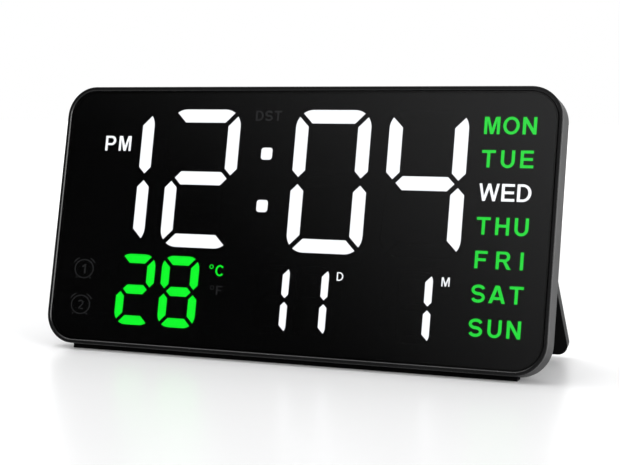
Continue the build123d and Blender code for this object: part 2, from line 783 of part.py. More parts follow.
# LEDs on the front of the board, one or more at the bottom of each light well
day_led_places = [
    (tile[0] + step * DAY_LED_PITCH, tile[1]) for tile in day_tiles for step in (-1, 0, 1)
]
led_places = {
    "white_leds": bar_led_places(hour_digits + minute_digits, LED_SPREAD)
    + bar_led_places(date_digits, 0)
    + [tile[:2] for tile in dot_tiles + white_tiles],
    "green_leds": bar_led_places(temp_digits, 0) + [tile[:2] for tile in unit_tiles] + day_led_places,
}
for name, places in led_places.items():
    with BuildPart() as leds:
        with BuildSketch(layer(reflector_back)):
            with Locations(*places):
                Rectangle(LED_LONG, LED_SHORT)
        extrude(amount=LED_HEIGHT)
    save(leds.part, name)

# Chips and small parts low on the back of the board
low_b = time_bottom + LOW_PART_RISE
controller_a = colon_a
controller = chip_at([(controller_a, low_b)], CHIP_SIZE, CHIP_SIZE, LEAD_COUNT, CHIP_HEIGHT, True)
save(controller, "controller_chip")
driver_a = controller_a + CHIP_SIZE / 2 + CHIP_GAP
driver_places = [(driver_a, low_b), (driver_a + DRIVER_PITCH, low_b)]
save(chip_at(driver_places, DRIVER_LENGTH, DRIVER_WIDTH, DRIVER_LEADS, LOW_PART_HEIGHT), "driver_chips")
clock_chip_a = controller_a - CHIP_SIZE / 2 - CHIP_GAP
save(
    chip_at([(clock_chip_a, low_b)], CLOCK_CHIP_LENGTH, CLOCK_CHIP_WIDTH, CLOCK_CHIP_LEADS, CHIP_HEIGHT),
    "clock_chip",
)

with BuildPart() as crystal:
    with BuildSketch(side_plane(clock_chip_a)):
        with Locations((board_back + CRYSTAL_RADIUS, low_b + CRYSTAL_RISE)):
            Circle(CRYSTAL_RADIUS)
    extrude(amount=CRYSTAL_LENGTH / 2, both=True)
save(crystal.part, "crystal")

with BuildPart() as chip_passives:
    with BuildSketch(layer(board_back)):
        with Locations((controller_a, low_b - CHIP_SIZE - PASSIVE_PITCH)):
            with GridLocations(PASSIVE_PITCH, PASSIVE_PITCH, PASSIVE_COUNT, PASSIVE_ROWS):
                Rectangle(PASSIVE_LONG, PASSIVE_SHORT)
    extrude(amount=-PASSIVE_HEIGHT)
save(chip_passives.part, "chip_passives")

# Taller parts of the board, under the pod
with BuildPart() as capacitor:
    with BuildSketch(layer(board_back)):
        with Locations((capacitor_a, control_b)):
            Rectangle(CAPACITOR_BASE, CAPACITOR_BASE)
    extrude(amount=-CAPACITOR_BASE_HEIGHT)
    with BuildSketch(layer(board_back + CAPACITOR_BASE_HEIGHT)):
        with Locations((capacitor_a, control_b)):
            Circle(CAPACITOR_RADIUS)
    extrude(amount=-CAPACITOR_HEIGHT)
save(capacitor.part, "capacitor")

with BuildPart() as buzzer:
    with BuildSketch(layer(board_back)):
        with Locations((buzzer_a, control_b)):
            Circle(BUZZER_RADIUS)
    extrude(amount=-BUZZER_HEIGHT)
    with BuildSketch(layer(board_back + BUZZER_HEIGHT)):
        with Locations((buzzer_a, control_b)):
            Circle(BUZZER_HOLE)
    extrude(amount=BUZZER_HEIGHT / 2, mode=Mode.SUBTRACT)
save(buzzer.part, "buzzer")

bead_c = pod_inner - BEAD_GAP - BEAD_RADIUS
with BuildPart() as thermistor:
    with BuildSketch(layer(board_back)):
        with Locations((vent_a, control_b)):
            with GridLocations(BEAD_LEAD_PITCH, 1, 2, 1):
                Circle(BEAD_LEAD_RADIUS)
    extrude(amount=board_back - bead_c)
    with Locations(layer(bead_c)):
        with Locations((vent_a, control_b, 0)):
            Sphere(BEAD_RADIUS)
save(thermistor.part, "thermistor")

usb_back = pod_inner - USB_SET_BACK
with BuildPart() as usb_socket:
    with BuildSketch(layer(board_back)):
        with Locations((usb_a, control_b)):
            SlotOverall(USB_WIDTH, USB_HEIGHT)
    extrude(amount=board_back - usb_back)
    with BuildSketch(layer(usb_back)):
        with Locations((usb_a, control_b)):
            SlotOverall(USB_WIDTH - 2 * USB_SHELL, USB_HEIGHT - 2 * USB_SHELL)
    extrude(amount=USB_MOUTH, mode=Mode.SUBTRACT)
    with BuildSketch(layer(usb_back - USB_MOUTH)):
        with Locations((usb_a, control_b)):
            Rectangle(USB_TONGUE_WIDTH, USB_TONGUE_HEIGHT)
    extrude(amount=USB_TONGUE_SET_BACK - USB_MOUTH)
save(usb_socket.part, "usb_socket")

button_places = [(first_button_a + i * button_pitch, control_b) for i in range(len(BUTTON_NAMES))]
with BuildPart() as tact_switches:
    with BuildSketch(layer(board_back)):
        with Locations(*button_places):
            Rectangle(TACT_SIZE, TACT_SIZE)
    extrude(amount=-TACT_HEIGHT)
    with BuildSketch(layer(board_back + TACT_HEIGHT)):
        with Locations(*button_places):
            Circle(PLUNGER_RADIUS)
    extrude(amount=-PLUNGER_HEIGHT)
save(tact_switches.part, "tact_switches")

# Coin cell in its holder, on a sprung contact, under the door
door_front = pod_inner - INNER_GAP - DOOR_TAB_THICK
cell_back = door_front - DOOR_STACK_GAP
cell_front = cell_back - CELL_THICK
with BuildPart() as battery_holder:
    with BuildSketch(layer(board_back)):
        with Locations((cell_a, control_b)):
            Circle(holder_radius)
    extrude(amount=board_back - cell_back)
    with BuildSketch(layer(cell_back)):
        with Locations((cell_a, control_b)):
            Circle(CELL_RADIUS + CELL_FIT)
    extrude(amount=CELL_THICK + CONTACT_THICK, mode=Mode.SUBTRACT)
save(battery_holder.part, "battery_holder")

with BuildPart() as battery_contact:
    with BuildSketch(layer(cell_front)):
        with Locations((cell_a, control_b)):
            Circle(CELL_RADIUS - CONTACT_WIDTH / 2)
            Rectangle(2 * CELL_RADIUS, CONTACT_WIDTH)
            Circle(CELL_RADIUS, mode=Mode.INTERSECT)
    extrude(amount=CONTACT_THICK)
save(battery_contact.part, "battery_contact")

with BuildPart() as coin_cell:
    with BuildSketch(layer(cell_front)):
        with Locations((cell_a, control_b)):
            Circle(CELL_RADIUS)
    extrude(amount=-CELL_THICK)
    chamfer(coin_cell.edges(), CELL_CHAMFER)
save(coin_cell.part, "coin_cell")

with BuildPart() as battery_door:
    with BuildSketch(layer(door_front)):
        with Locations((cell_a, control_b)):
            Circle(door_radius)
    extrude(amount=door_front - pod_back)
    with BuildSketch(layer(door_front)):
        with Locations((cell_a, control_b)):
            Rectangle(2 * tab_reach, DOOR_TAB_WIDTH)
            Circle(tab_reach, mode=Mode.INTERSECT)
    extrude(amount=-DOOR_TAB_THICK)
    with BuildSketch(layer(pod_back)):
        with Locations((cell_a, control_b)):
            SlotOverall(DOOR_SLOT_LENGTH, DOOR_SLOT_WIDTH)
    extrude(amount=DOOR_SLOT_DEPTH, mode=Mode.SUBTRACT)
save(battery_door.part, "battery_door")

# Rear cover: flat back in the frame's rebate, with the pod, hinge lugs, keyholes and openings
barrel_a = CASE_WIDTH / 2 - STAND_TOP_INSET - BARREL_EDGE
lug_middle = BARREL_LENGTH / 2 + LUG_GAP + LUG_THICK / 2
lug_places = [side * barrel_a + step * lug_middle for side in (-1, 1) for step in (-1, 1)]
keyhole_places = [(side * keyhole_spacing / 2, control_b - KEYHOLE_DROP) for side in (-1, 1)]
rest_back = hinge_c - STAND_THICK / 2 - REST_GAP
with BuildPart() as rear_cover:
    with BuildSketch(layer(CASE_DEPTH)):
        with Locations((0, control_b)):
            RectangleRounded(pod_width, pod_span, POD_CORNER)
    extrude(amount=-POD_HEIGHT)
    fillet(rear_cover.faces().sort_by(front_axis)[0].edges(), POD_FILLET)
    with BuildSketch(layer(cover_front)):
        add(case_outline(rebate_wall + COVER_FIT))
    extrude(amount=-COVER_THICK)
    with BuildSketch(layer(cover_front)):
        with Locations((0, control_b)):
            RectangleRounded(
                pod_width - 2 * COVER_THICK, pod_span - 2 * COVER_THICK, POD_CORNER - COVER_THICK
            )
    extrude(amount=cover_front - pod_inner, mode=Mode.SUBTRACT)
    for a in lug_places:
        with BuildSketch(side_plane(a)):
            with Locations(((CASE_DEPTH + hinge_c) / 2, hinge_b)):
                Rectangle(hinge_offset, 2 * BARREL_RADIUS)
            with Locations((hinge_c, hinge_b)):
                Circle(BARREL_RADIUS)
            with Locations(((CASE_DEPTH + hinge_c) / 2, (hinge_b + pod_bottom) / 2)):
                Rectangle(hinge_offset, hinge_drop)
        extrude(amount=LUG_THICK / 2, both=True)
    with BuildSketch(side_plane(0)):
        with Locations((hinge_c, hinge_b)):
            Circle(PIN_RADIUS + PIN_FIT)
    extrude(amount=CASE_WIDTH / 2, both=True, mode=Mode.SUBTRACT)
    with BuildSketch(layer(CASE_DEPTH)):
        with Locations((-STAND_RIB_A, REST_RISE), (STAND_RIB_A, REST_RISE)):
            Circle(REST_RADIUS)
    extrude(amount=CASE_DEPTH - rest_back)
    with BuildSketch(layer(pod_inner)):
        with Locations(*button_places):
            Circle(BUTTON_RADIUS + BUTTON_GAP)
        with Locations(*keyhole_places):
            Circle(KEYHOLE_RADIUS)
        for a, b in keyhole_places:
            with Locations((a, b + KEYHOLE_TRAVEL / 2)):
                SlotCenterToCenter(KEYHOLE_TRAVEL, 2 * KEYHOLE_SLOT_RADIUS, rotation=90)
        with Locations((cell_a, control_b)):
            Circle(door_radius + DOOR_GAP)
            Rectangle(2 * (tab_reach + DOOR_GAP), DOOR_TAB_WIDTH + 2 * DOOR_GAP, rotation=-DOOR_TURN)
        with Locations((usb_a, control_b)):
            SlotOverall(USB_WIDTH + 2 * USB_FIT, USB_HEIGHT + 2 * USB_FIT)
        with Locations((vent_a, control_b)):
            with GridLocations(1, VENT_PITCH, 1, VENT_COUNT):
                SlotOverall(VENT_LENGTH, VENT_WIDTH)
        with Locations((buzzer_a, control_b)):
            Circle(SOUND_HOLE)
            with PolarLocations(SOUND_RING, SOUND_COUNT):
                Circle(SOUND_HOLE)
    extrude(amount=-COVER_THICK, mode=Mode.SUBTRACT)
    with Locations(back_layer(CASE_DEPTH)):
        with Locations(*[(-a, b) for a, b in case_screw_places]):
            CounterSinkHole(
                CASE_SCREW_RADIUS + SCREW_FIT, CASE_SCREW_HEAD + SCREW_FIT, counter_sink_angle=90
            )
save(rear_cover.part, "rear_cover")

# Buttons: a cap through the pod's wall, a flange that keeps it in, and a stem over the switch
flange_back = pod_inner - INNER_GAP
flange_front = flange_back - BUTTON_FLANGE_THICK
stem_front = board_back + TACT_HEIGHT + PLUNGER_HEIGHT + BUTTON_TRAVEL + PLUNGER_CLEARANCE
for name, place in zip(BUTTON_NAMES, button_places):
    with BuildPart() as button:
        with BuildSketch(layer(flange_front)):
            with Locations(place):
                Circle(BUTTON_RADIUS)
        extrude(amount=flange_front - pod_back - BUTTON_PROUD)
        fillet(button.faces().sort_by(front_axis)[0].edges(), BUTTON_FILLET)
        with BuildSketch(layer(flange_front)):
            with Locations(place):
                Circle(flange_radius)
        extrude(amount=-BUTTON_FLANGE_THICK)
        with BuildSketch(layer(flange_front)):
            with Locations(place):
                Circle(BUTTON_STEM)
        extrude(amount=flange_front - stem_front)
    save(button.part, name)

# Kickstand: a flared plate, cored from its inner side, with two hinge barrels and a heel
# that meets the cover when the stand is open
top_half = CASE_WIDTH / 2 - STAND_TOP_INSET
foot_half = CASE_WIDTH / 2 - STAND_FOOT_INSET
flare = (foot_half - top_half) / leg_length
heel_half = top_half - flare * heel
notch_width = BARREL_LENGTH + 2 * LUG_THICK + 4 * LUG_GAP
notch_depth = BARREL_RADIUS + NOTCH_MARGIN
pocket_length = leg_length - STAND_POCKET_TOP - STAND_POCKET_END
pocket_middle = -STAND_POCKET_TOP - pocket_length / 2
middle_pocket = 2 * STAND_RIB_A - STAND_RIB
side_pocket = top_half - STAND_POCKET_SIDE - STAND_RIB_A - STAND_RIB / 2
side_pocket_a = STAND_RIB_A + STAND_RIB / 2 + side_pocket / 2
with BuildPart() as kickstand:
    with BuildSketch(stand_plane.offset(-STAND_THICK / 2)):
        with BuildLine():
            Polyline(
                (-heel_half, heel), (heel_half, heel), (foot_half, -leg_length), (-foot_half, -leg_length),
                close=True
            )
        plate = make_face()
        fillet(plate.vertices().group_by(Axis.Y)[0], STAND_CORNER)
        fillet(plate.vertices().group_by(Axis.Y)[-1], STAND_TOP_CORNER)
    extrude(amount=STAND_THICK)
    fillet(kickstand.faces().sort_by(Axis((0, 0, 0), stand_plane.z_dir))[0].edges(), STAND_FILLET)
    with BuildSketch(stand_plane.offset(STAND_THICK / 2)):
        with Locations((0, pocket_middle)):
            RectangleRounded(middle_pocket, pocket_length, STAND_POCKET_CORNER)
        with Locations((-side_pocket_a, pocket_middle), (side_pocket_a, pocket_middle)):
            RectangleRounded(side_pocket, pocket_length, STAND_POCKET_CORNER)
    extrude(amount=STAND_WEB - STAND_THICK, mode=Mode.SUBTRACT)
    with BuildSketch(stand_plane):
        with Locations((-barrel_a, heel / 2 - notch_depth / 2), (barrel_a, heel / 2 - notch_depth / 2)):
            Rectangle(notch_width, heel + notch_depth)
    extrude(amount=STAND_THICK, both=True, mode=Mode.SUBTRACT)
    for side in (-1, 1):
        with BuildSketch(side_plane(side * barrel_a)):
            with Locations((hinge_c, hinge_b)):
                Circle(BARREL_RADIUS)
        extrude(amount=BARREL_LENGTH / 2, both=True)
    with BuildSketch(stand_plane):
        with Locations((-barrel_a, -notch_depth / 2), (barrel_a, -notch_depth / 2)):
            Rectangle(BARREL_LENGTH, notch_depth)
    extrude(amount=STAND_THICK / 2, both=True)
    with BuildSketch(side_plane(0)):
        with Locations((hinge_c, hinge_b)):
            Circle(PIN_RADIUS + PIN_FIT)
    extrude(amount=CASE_WIDTH / 2, both=True, mode=Mode.SUBTRACT)
save(kickstand.part, "kickstand")

# Rubber pads under the stand, cut flat where they meet the floor
pad_drop = TIP_CLEARANCE + STAND_THICK
pad_a = foot_half - STAND_CORNER - PAD_EDGE - PAD_LENGTH / 2
with BuildPart() as stand_pads:
    with BuildSketch(stand_plane):
        with Locations((-pad_a, -leg_length - pad_drop / 2), (pad_a, -leg_length - pad_drop / 2)):
            Rectangle(PAD_LENGTH, pad_drop)
    extrude(amount=STAND_THICK / 2, both=True)
    split(bisect_by=Plane.XY, keep=Keep.TOP)
save(stand_pads.part, "stand_pads")

# Hinge pins, held in the lugs
pin_length = BARREL_LENGTH + 2 * LUG_GAP + 2 * LUG_THICK
with BuildPart() as hinge_pins:
    for side in (-1, 1):
        with BuildSketch(side_plane(side * barrel_a)):
            with Locations((hinge_c, hinge_b)):
                Circle(PIN_RADIUS)
        extrude(amount=pin_length / 2, both=True)
save(hinge_pins.part, "hinge_pins")


def floor_b(c):
    """How far along b the floor lies at depth c."""
    return (c * sin(lean) - front_edge_z) / cos(lean)


# Anti-slip strip in the groove under the case, cut flat where it meets the floor
groove_top = BASE_GROOVE - BASE_FIT
with BuildPart() as base_strip:
    with BuildSketch(side_plane(0)):
        with BuildLine():
            Polyline(
                (base_front, groove_top), (base_back, groove_top), (base_back, floor_b(base_back)),
                (base_front, floor_b(base_front)), close=True
            )
        make_face()
    extrude(amount=base_half, both=True)
save(base_strip.part, "base_strip")

# Screws
with BuildPart() as case_screws:
    with Locations(back_layer(CASE_DEPTH)):
        with Locations(*[(-a, b) for a, b in case_screw_places]):
            add(countersunk_screw())
save(case_screws.part, "case_screws")

with BuildPart() as board_screws:
    with Locations(back_layer(board_back)):
        with Locations(*[(-a, b) for a, b in board_screw_places]):
            add(pan_screw())
save(board_screws.part, "board_screws")

print(f"case {CASE_WIDTH:.1f} x {CASE_HEIGHT:.1f} x {CASE_DEPTH:.2f}, leaning {LEAN:.1f} degrees")
print(f"front edge y {front_y:.4f} z {front_edge_z:.4f}")
print(f"hinge y {front_y + hinge_y:.4f} z {hinge_z:.4f}, folds {LEAN + LEG_ANGLE:.2f} degrees")
print(f"keyholes {keyhole_spacing:.3f} apart, controls at b {control_b:.3f}")
print(f"cell at a {cell_a:.3f}, power socket at a {usb_a:.3f}")
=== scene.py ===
# %% [markdown]
# # A leaning LED desk clock
# The clock is a slim case with a smoked front panel. Behind the panel lie a black printed film and milky
# bars that glow white or green, and behind the case a plate folds out as a stand. The engineering model
# already holds every solid at its true place, so this lesson loads it as a fixed frame and adds what a
# drawing of solids lacks: finishes, printed words and signs, small grips, light, a floor and the camera.

# %% Load the frame
import json
import math

import bmesh
import bpy
from mathutils import Matrix, Vector


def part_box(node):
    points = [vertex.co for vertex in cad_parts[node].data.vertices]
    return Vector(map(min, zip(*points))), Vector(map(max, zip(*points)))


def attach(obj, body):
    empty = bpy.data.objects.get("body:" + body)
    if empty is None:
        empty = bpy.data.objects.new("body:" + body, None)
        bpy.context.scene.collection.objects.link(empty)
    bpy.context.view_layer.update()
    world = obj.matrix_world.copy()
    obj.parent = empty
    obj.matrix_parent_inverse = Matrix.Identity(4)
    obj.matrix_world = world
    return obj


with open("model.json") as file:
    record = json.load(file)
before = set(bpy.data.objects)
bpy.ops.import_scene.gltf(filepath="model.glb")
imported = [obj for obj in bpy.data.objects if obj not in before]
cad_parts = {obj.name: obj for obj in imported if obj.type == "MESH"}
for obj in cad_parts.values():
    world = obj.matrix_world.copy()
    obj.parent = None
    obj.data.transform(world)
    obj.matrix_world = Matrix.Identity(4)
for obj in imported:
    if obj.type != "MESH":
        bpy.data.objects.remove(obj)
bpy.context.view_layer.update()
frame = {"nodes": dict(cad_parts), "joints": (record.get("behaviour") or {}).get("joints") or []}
nodes = frame["nodes"]
MM = 0.001

# %% [markdown]
# ## Where the face is
# The face leans back, so words on it cannot be placed with plain X, Y and Z. A button travels straight
# towards the face, which makes the axis of its joint the face's normal. Measuring the frame's own
# vertices along that normal, and along the direction up the face, gives the plane of the rim and the
# lower edge of the case. After that any place is a along the face, b up it, and c behind the rim, as a
# draughtsman would measure it.

# %% Measure the face
set_press = next(joint for joint in frame["joints"] if joint["name"] == "set_press")
face_normal = Vector(set_press["axis"]).normalized()
face_along = Vector((1.0, 0.0, 0.0))
face_up = face_normal.cross(face_along)


def reach(node, direction):
    """Least and greatest distance of a node's vertices along a direction."""
    distances = [vertex.co.dot(direction) for vertex in nodes[node].data.vertices]
    return min(distances), max(distances)


case_bottom = reach("front_frame", face_up)[0]
rim_front = reach("front_frame", face_normal)[1]
film_depth = rim_front - reach("legend_film", face_normal)[1]
pod_depth = rim_front - reach("rear_cover", face_normal)[0]
print("film", round(film_depth / MM, 2), "mm and pod", round(pod_depth / MM, 2), "mm behind the rim")

# %% Places on the face
def face_matrix(a, b, c):
    """Placement with its X along the face, its Y up the face and its Z towards the reader."""
    place = face_along * a + face_up * (case_bottom + b) + face_normal * (rim_front - c)
    turn = Matrix((face_along, face_up, face_normal)).transposed()
    return Matrix.Translation(place) @ turn.to_4x4()


def back_matrix(a, b, c):
    """Placement on the back, with its Z pointing away from the reader and its X to the left of the face."""
    return face_matrix(a, b, c) @ Matrix.Rotation(math.pi, 4, "Y")


front_edge = face_matrix(0, 0, 0).translation
print("lower front edge at", [round(value / MM, 1) for value in front_edge], "mm")

# %% [markdown]
# ## Camera
# The picture was taken from the right and a little above. Its place came from fitting the case's outline,
# so it is a set of measured numbers: where the lens stood in front of the case's lower edge, how far it
# was turned and how far it looked down. The focal length is in pixels of a picture 620 wide, which a 36
# mm sensor turns into millimetres, and the small shift stands for a crop that was not centred.

# %% Set up the camera
PICTURE_WIDTH = 620
PICTURE_HEIGHT = 465
FOCAL_PIXELS = 1416
CENTRE_ROW = 250
CAMERA_ACROSS = 278.5 * MM
CAMERA_BEFORE_FRONT = 635.3 * MM
CAMERA_HEIGHT = 132.7 * MM
CAMERA_YAW = 22.31
CAMERA_DIP = 6.18
SENSOR = 36.0

camera_data = bpy.data.cameras.new("camera")
camera_data.sensor_width = SENSOR
camera_data.lens = FOCAL_PIXELS / PICTURE_WIDTH * SENSOR
camera_data.shift_y = (CENTRE_ROW - PICTURE_HEIGHT / 2) / PICTURE_WIDTH
camera = bpy.data.objects.new("camera", camera_data)
camera.location = (CAMERA_ACROSS, front_edge.y - CAMERA_BEFORE_FRONT, CAMERA_HEIGHT)
camera.rotation_euler = (math.radians(90 - CAMERA_DIP), 0, math.radians(CAMERA_YAW))
bpy.context.scene.collection.objects.link(camera)
bpy.context.scene.camera = camera
bpy.context.scene.view_settings.view_transform = "Standard"
print("camera at", [round(value / MM, 1) for value in camera.location], "mm")

# %% [markdown]
# ## Shared surface effects
# Three effects come back in many finishes, so each is a shader node group built once. Moulded grain is
# the fine spark-eroded texture of an injection mould, handling is the broad, faint smear that fingers
# leave on any plastic, and brushing is the fine directional scratching of plated metal. Painted image
# maps could show them too, but noise on Object coordinates fits every piece without unwrapping it. The
# groups give out only masks and values, and each material decides how strongly to use them.

# %% Node helpers
def feed(tree, socket, amount):
    """Set an input to a fixed amount, or link it to another node's output."""
    if isinstance(amount, bpy.types.NodeSocket):
        tree.links.new(amount, socket)
    else:
        socket.default_value = amount


def object_coordinates(tree):
    """Object coordinates of the piece that is being shaded."""
    return tree.nodes.new("ShaderNodeTexCoord").outputs["Object"]


def noise(tree, scale, detail, vector):
    """Noise texture; its scale is a number or a socket."""
    texture = tree.nodes.new("ShaderNodeTexNoise")
    for label, amount in (("Scale", scale), ("Detail", detail), ("Vector", vector)):
        feed(tree, texture.inputs[label], amount)
    return texture.outputs["Fac"]


def spread(tree, mask, low, high):
    """Map a 0 to 1 mask to the range low to high, each a number or a socket."""
    node = tree.nodes.new("ShaderNodeMapRange")
    for label, amount in (("Value", mask), ("To Min", low), ("To Max", high)):
        feed(tree, node.inputs[label], amount)
    return node.outputs["Result"]


print("node helpers ready: feed, object_coordinates, noise, spread")

# %% Moulded grain
PATCH_SCALE = 60.0


def new_group(name, inputs, outputs):
    """Empty shader node group with float inputs, given with their defaults, and float outputs."""
    group = bpy.data.node_groups.new(name, "ShaderNodeTree")
    for label, default in inputs.items():
        socket = group.interface.new_socket(name=label, in_out="INPUT", socket_type="NodeSocketFloat")
        socket.default_value = default
    for label in outputs:
        group.interface.new_socket(name=label, in_out="OUTPUT", socket_type="NodeSocketFloat")
    return group, group.nodes.new("NodeGroupInput"), group.nodes.new("NodeGroupOutput")


def combine(tree, operation, first, second):
    """Math node on two values, each a number or a socket."""
    node = tree.nodes.new("ShaderNodeMath")
    node.operation = operation
    feed(tree, node.inputs[0], first)
    feed(tree, node.inputs[1], second)
    return node.outputs["Value"]


def make_grain_group():
    """Fine mould texture: a height for bump and a roughness that is uneven in broad patches."""
    group, start, end = new_group(
        "moulded grain",
        {"Scale": 2500.0, "Roughness low": 0.4, "Roughness high": 0.55},
        ["Height", "Roughness"],
    )
    place = object_coordinates(group)
    fine = noise(group, start.outputs["Scale"], detail=3.0, vector=place)
    patches = noise(group, PATCH_SCALE, detail=4.0, vector=place)
    uneven = combine(group, "MULTIPLY", fine, patches)
    rough = spread(group, uneven, start.outputs["Roughness low"], start.outputs["Roughness high"])
    group.links.new(fine, end.inputs["Height"])
    group.links.new(rough, end.inputs["Roughness"])
    return group


grain_group = make_grain_group()
print("shared effect:", grain_group.name, "with", len(grain_group.nodes), "nodes")

# %% Handling
SMEAR_EDGES = (0.5, 0.75)


def step_mask(tree, value, span, shape="SMOOTHSTEP"):
    """Mask that rises from 0 to 1 while a value crosses a span."""
    node = tree.nodes.new("ShaderNodeMapRange")
    node.interpolation_type = shape
    for label, amount in (("Value", value), ("From Min", span[0]), ("From Max", span[1])):
        feed(tree, node.inputs[label], amount)
    return node.outputs["Result"]


def make_handling_group():
    """Broad faint smears: a mask that is mostly low with soft patches that are high."""
    group, start, end = new_group("handling", {"Scale": 18.0, "Low": 0.0, "High": 1.0}, ["Mask"])
    blotches = noise(group, start.outputs["Scale"], detail=5.0, vector=object_coordinates(group))
    smears = step_mask(group, blotches, SMEAR_EDGES)
    mask = spread(group, smears, start.outputs["Low"], start.outputs["High"])
    group.links.new(mask, end.inputs["Mask"])
    return group


handling_group = make_handling_group()
print("shared effect:", handling_group.name, "with", len(handling_group.nodes), "nodes")

# %% Brushing
def vector_math(tree, operation, first, second=None):
    """Vector Math node on a socket and, where it needs one, a second vector or socket."""
    node = tree.nodes.new("ShaderNodeVectorMath")
    node.operation = operation
    feed(tree, node.inputs[0], first)
    if second is not None:
        feed(tree, node.inputs[1], second)
    return node


def make_brushing_group():
    """Fine scratches along one direction: a height and an uneven roughness."""
    group, start, end = new_group(
        "brushing", {"Across": 9000.0, "Along": 300.0, "Roughness low": 0.2, "Roughness high": 0.4},
        ["Height", "Roughness"],
    )
    density = group.nodes.new("ShaderNodeCombineXYZ")
    for label, amount in (("X", "Along"), ("Y", "Across"), ("Z", "Across")):
        group.links.new(start.outputs[amount], density.inputs[label])
    stretched = vector_math(group, "MULTIPLY", object_coordinates(group), density.outputs["Vector"])
    scratches = noise(group, 1.0, detail=2.0, vector=stretched.outputs["Vector"])
    rough = spread(group, scratches, start.outputs["Roughness low"], start.outputs["Roughness high"])
    group.links.new(scratches, end.inputs["Height"])
    group.links.new(rough, end.inputs["Roughness"])
    return group


brushing_group = make_brushing_group()
print("shared effect:", brushing_group.name, "with", len(brushing_group.nodes), "nodes")

# %% [markdown]
# ## Plastics, metals and rubber
# Every finish here is a Principled BSDF with the shared groups feeding its roughness, colour and bump.
# Each could be a tree of its own, but they differ only in colour, grain and gloss, so one function makes
# every plastic and another every metal, and a finish is one line. The back has a coarse texture so that
# it does not show finger marks, and the buttons are smoother. Plated steel serves the screws, pins, cell
# and socket. The rubber is dull and slightly dusty.

# %% Material helpers
def new_material(name):
    """Material with an empty Principled BSDF; gives the material, its tree and the shader."""
    material = bpy.data.materials.new(name)
    material.use_nodes = True
    tree = material.node_tree
    return material, tree, tree.nodes["Principled BSDF"]


def use_group(tree, group, **values):
    """Place a shared group in a material, with its inputs set by name."""
    node = tree.nodes.new("ShaderNodeGroup")
    node.node_tree = group
    for label, value in values.items():
        node.inputs[label.replace("_", " ")].default_value = value
    return node


def add_bump(tree, shader, height, strength, distance):
    """Bump from a height mask."""
    bump = tree.nodes.new("ShaderNodeBump")
    for label, amount in (("Strength", strength), ("Distance", distance), ("Height", height)):
        feed(tree, bump.inputs[label], amount)
    tree.links.new(bump.outputs["Normal"], shader.inputs["Normal"])


def blend_colours(tree, mask, first, second):
    """Colour that goes from first to second with a mask; each is a colour or a socket."""
    mix = tree.nodes.new("ShaderNodeMix")
    mix.data_type = "RGBA"
    feed(tree, mix.inputs["Factor"], mask)
    for label, colour in (("A", first), ("B", second)):
        feed(tree, mix.inputs[label], (*colour, 1.0) if isinstance(colour, tuple) else colour)
    return mix.outputs["Result"]


print("material helpers ready: new_material, use_group, add_bump, blend_colours")

# %% Make the plastics
GRAIN_DEPTH = 0.05 * MM


def grey(level):
    """Neutral colour with a faint cool tint."""
    return (level, level, level * 1.05)


def plastic(name, colour, dusty, scale, rough, strength, specular=0.5):
    """Moulded plastic: grain in its roughness and bump, and faint smears in its colour."""
    material, tree, shader = new_material(name)
    grain = use_group(tree, grain_group, Scale=scale, Roughness_low=rough[0], Roughness_high=rough[1])
    smear = use_group(tree, handling_group)
    tree.links.new(blend_colours(tree, smear.outputs["Mask"], colour, dusty), shader.inputs["Base Color"])
    tree.links.new(grain.outputs["Roughness"], shader.inputs["Roughness"])
    add_bump(tree, shader, grain.outputs["Height"], strength, GRAIN_DEPTH)
    shader.inputs["Specular IOR Level"].default_value = specular
    return material


back_texture = plastic("back_texture", grey(0.010), grey(0.016), 1500, (0.40, 0.75), 0.45, 0.30)
# The stand's colour is much darker than the back's: painted shade for its face, which lies in shadow behind
# the case.
stand_texture = plastic("stand_texture", grey(0.0015), grey(0.003), 1500, (0.30, 0.55), 0.30, 0.06)
button_satin = plastic("button_satin", grey(0.028), grey(0.036), 2200, (0.30, 0.60), 0.20)
grip_rubber = plastic("grip_rubber", grey(0.0012), (0.003, 0.0028, 0.0026), 900, (0.70, 1.00), 0.50, 0.06)
mark_paint = plastic("mark_paint", grey(0.30), grey(0.22), 2600, (0.50, 0.80), 0.15)
chip_epoxy = plastic("chip_epoxy", grey(0.016), grey(0.030), 3200, (0.45, 0.75), 0.40)
holder_plastic = plastic("holder_plastic", grey(0.030), grey(0.040), 2000, (0.35, 0.60), 0.20)
bead_epoxy = plastic("bead_epoxy", grey(0.020), grey(0.034), 800, (0.15, 0.40), 0.10)
board_mask = plastic("board_mask", (0.012, 0.090, 0.036), (0.018, 0.115, 0.048), 700, (0.22, 0.50), 0.15)
led_epoxy = plastic("led_epoxy", (0.80, 0.76, 0.58), (0.72, 0.67, 0.48), 2600, (0.20, 0.45), 0.10)
film_print = plastic("film_print", grey(0.0016), grey(0.0020), 5000, (0.55, 0.80), 0.05, 0.10)
print("materials in the file with the plastics:", len(bpy.data.materials))

# %% Make the metals
TARNISH_SCALE = 140.0
SCRATCH_STRENGTH = 0.15
SCRATCH_DEPTH = 0.02 * MM


def metal(name, colour, worn, rough):
    """Plated or drawn metal with fine brushing and a little tarnish."""
    material, tree, shader = new_material(name)
    brushing = use_group(tree, brushing_group, Roughness_low=rough[0], Roughness_high=rough[1])
    tarnish = use_group(tree, handling_group, Scale=TARNISH_SCALE)
    tree.links.new(blend_colours(tree, tarnish.outputs["Mask"], colour, worn), shader.inputs["Base Color"])
    tree.links.new(brushing.outputs["Roughness"], shader.inputs["Roughness"])
    add_bump(tree, shader, brushing.outputs["Height"], SCRATCH_STRENGTH, SCRATCH_DEPTH)
    shader.inputs["Metallic"].default_value = 1.0
    return material


plated_steel = metal("plated_steel", (0.44, 0.44, 0.43), (0.33, 0.328, 0.32), (0.20, 0.45))
can_aluminium = metal("can_aluminium", (0.78, 0.78, 0.79), (0.66, 0.66, 0.67), (0.25, 0.45))
print("metals:", plated_steel.name, "and", can_aluminium.name)

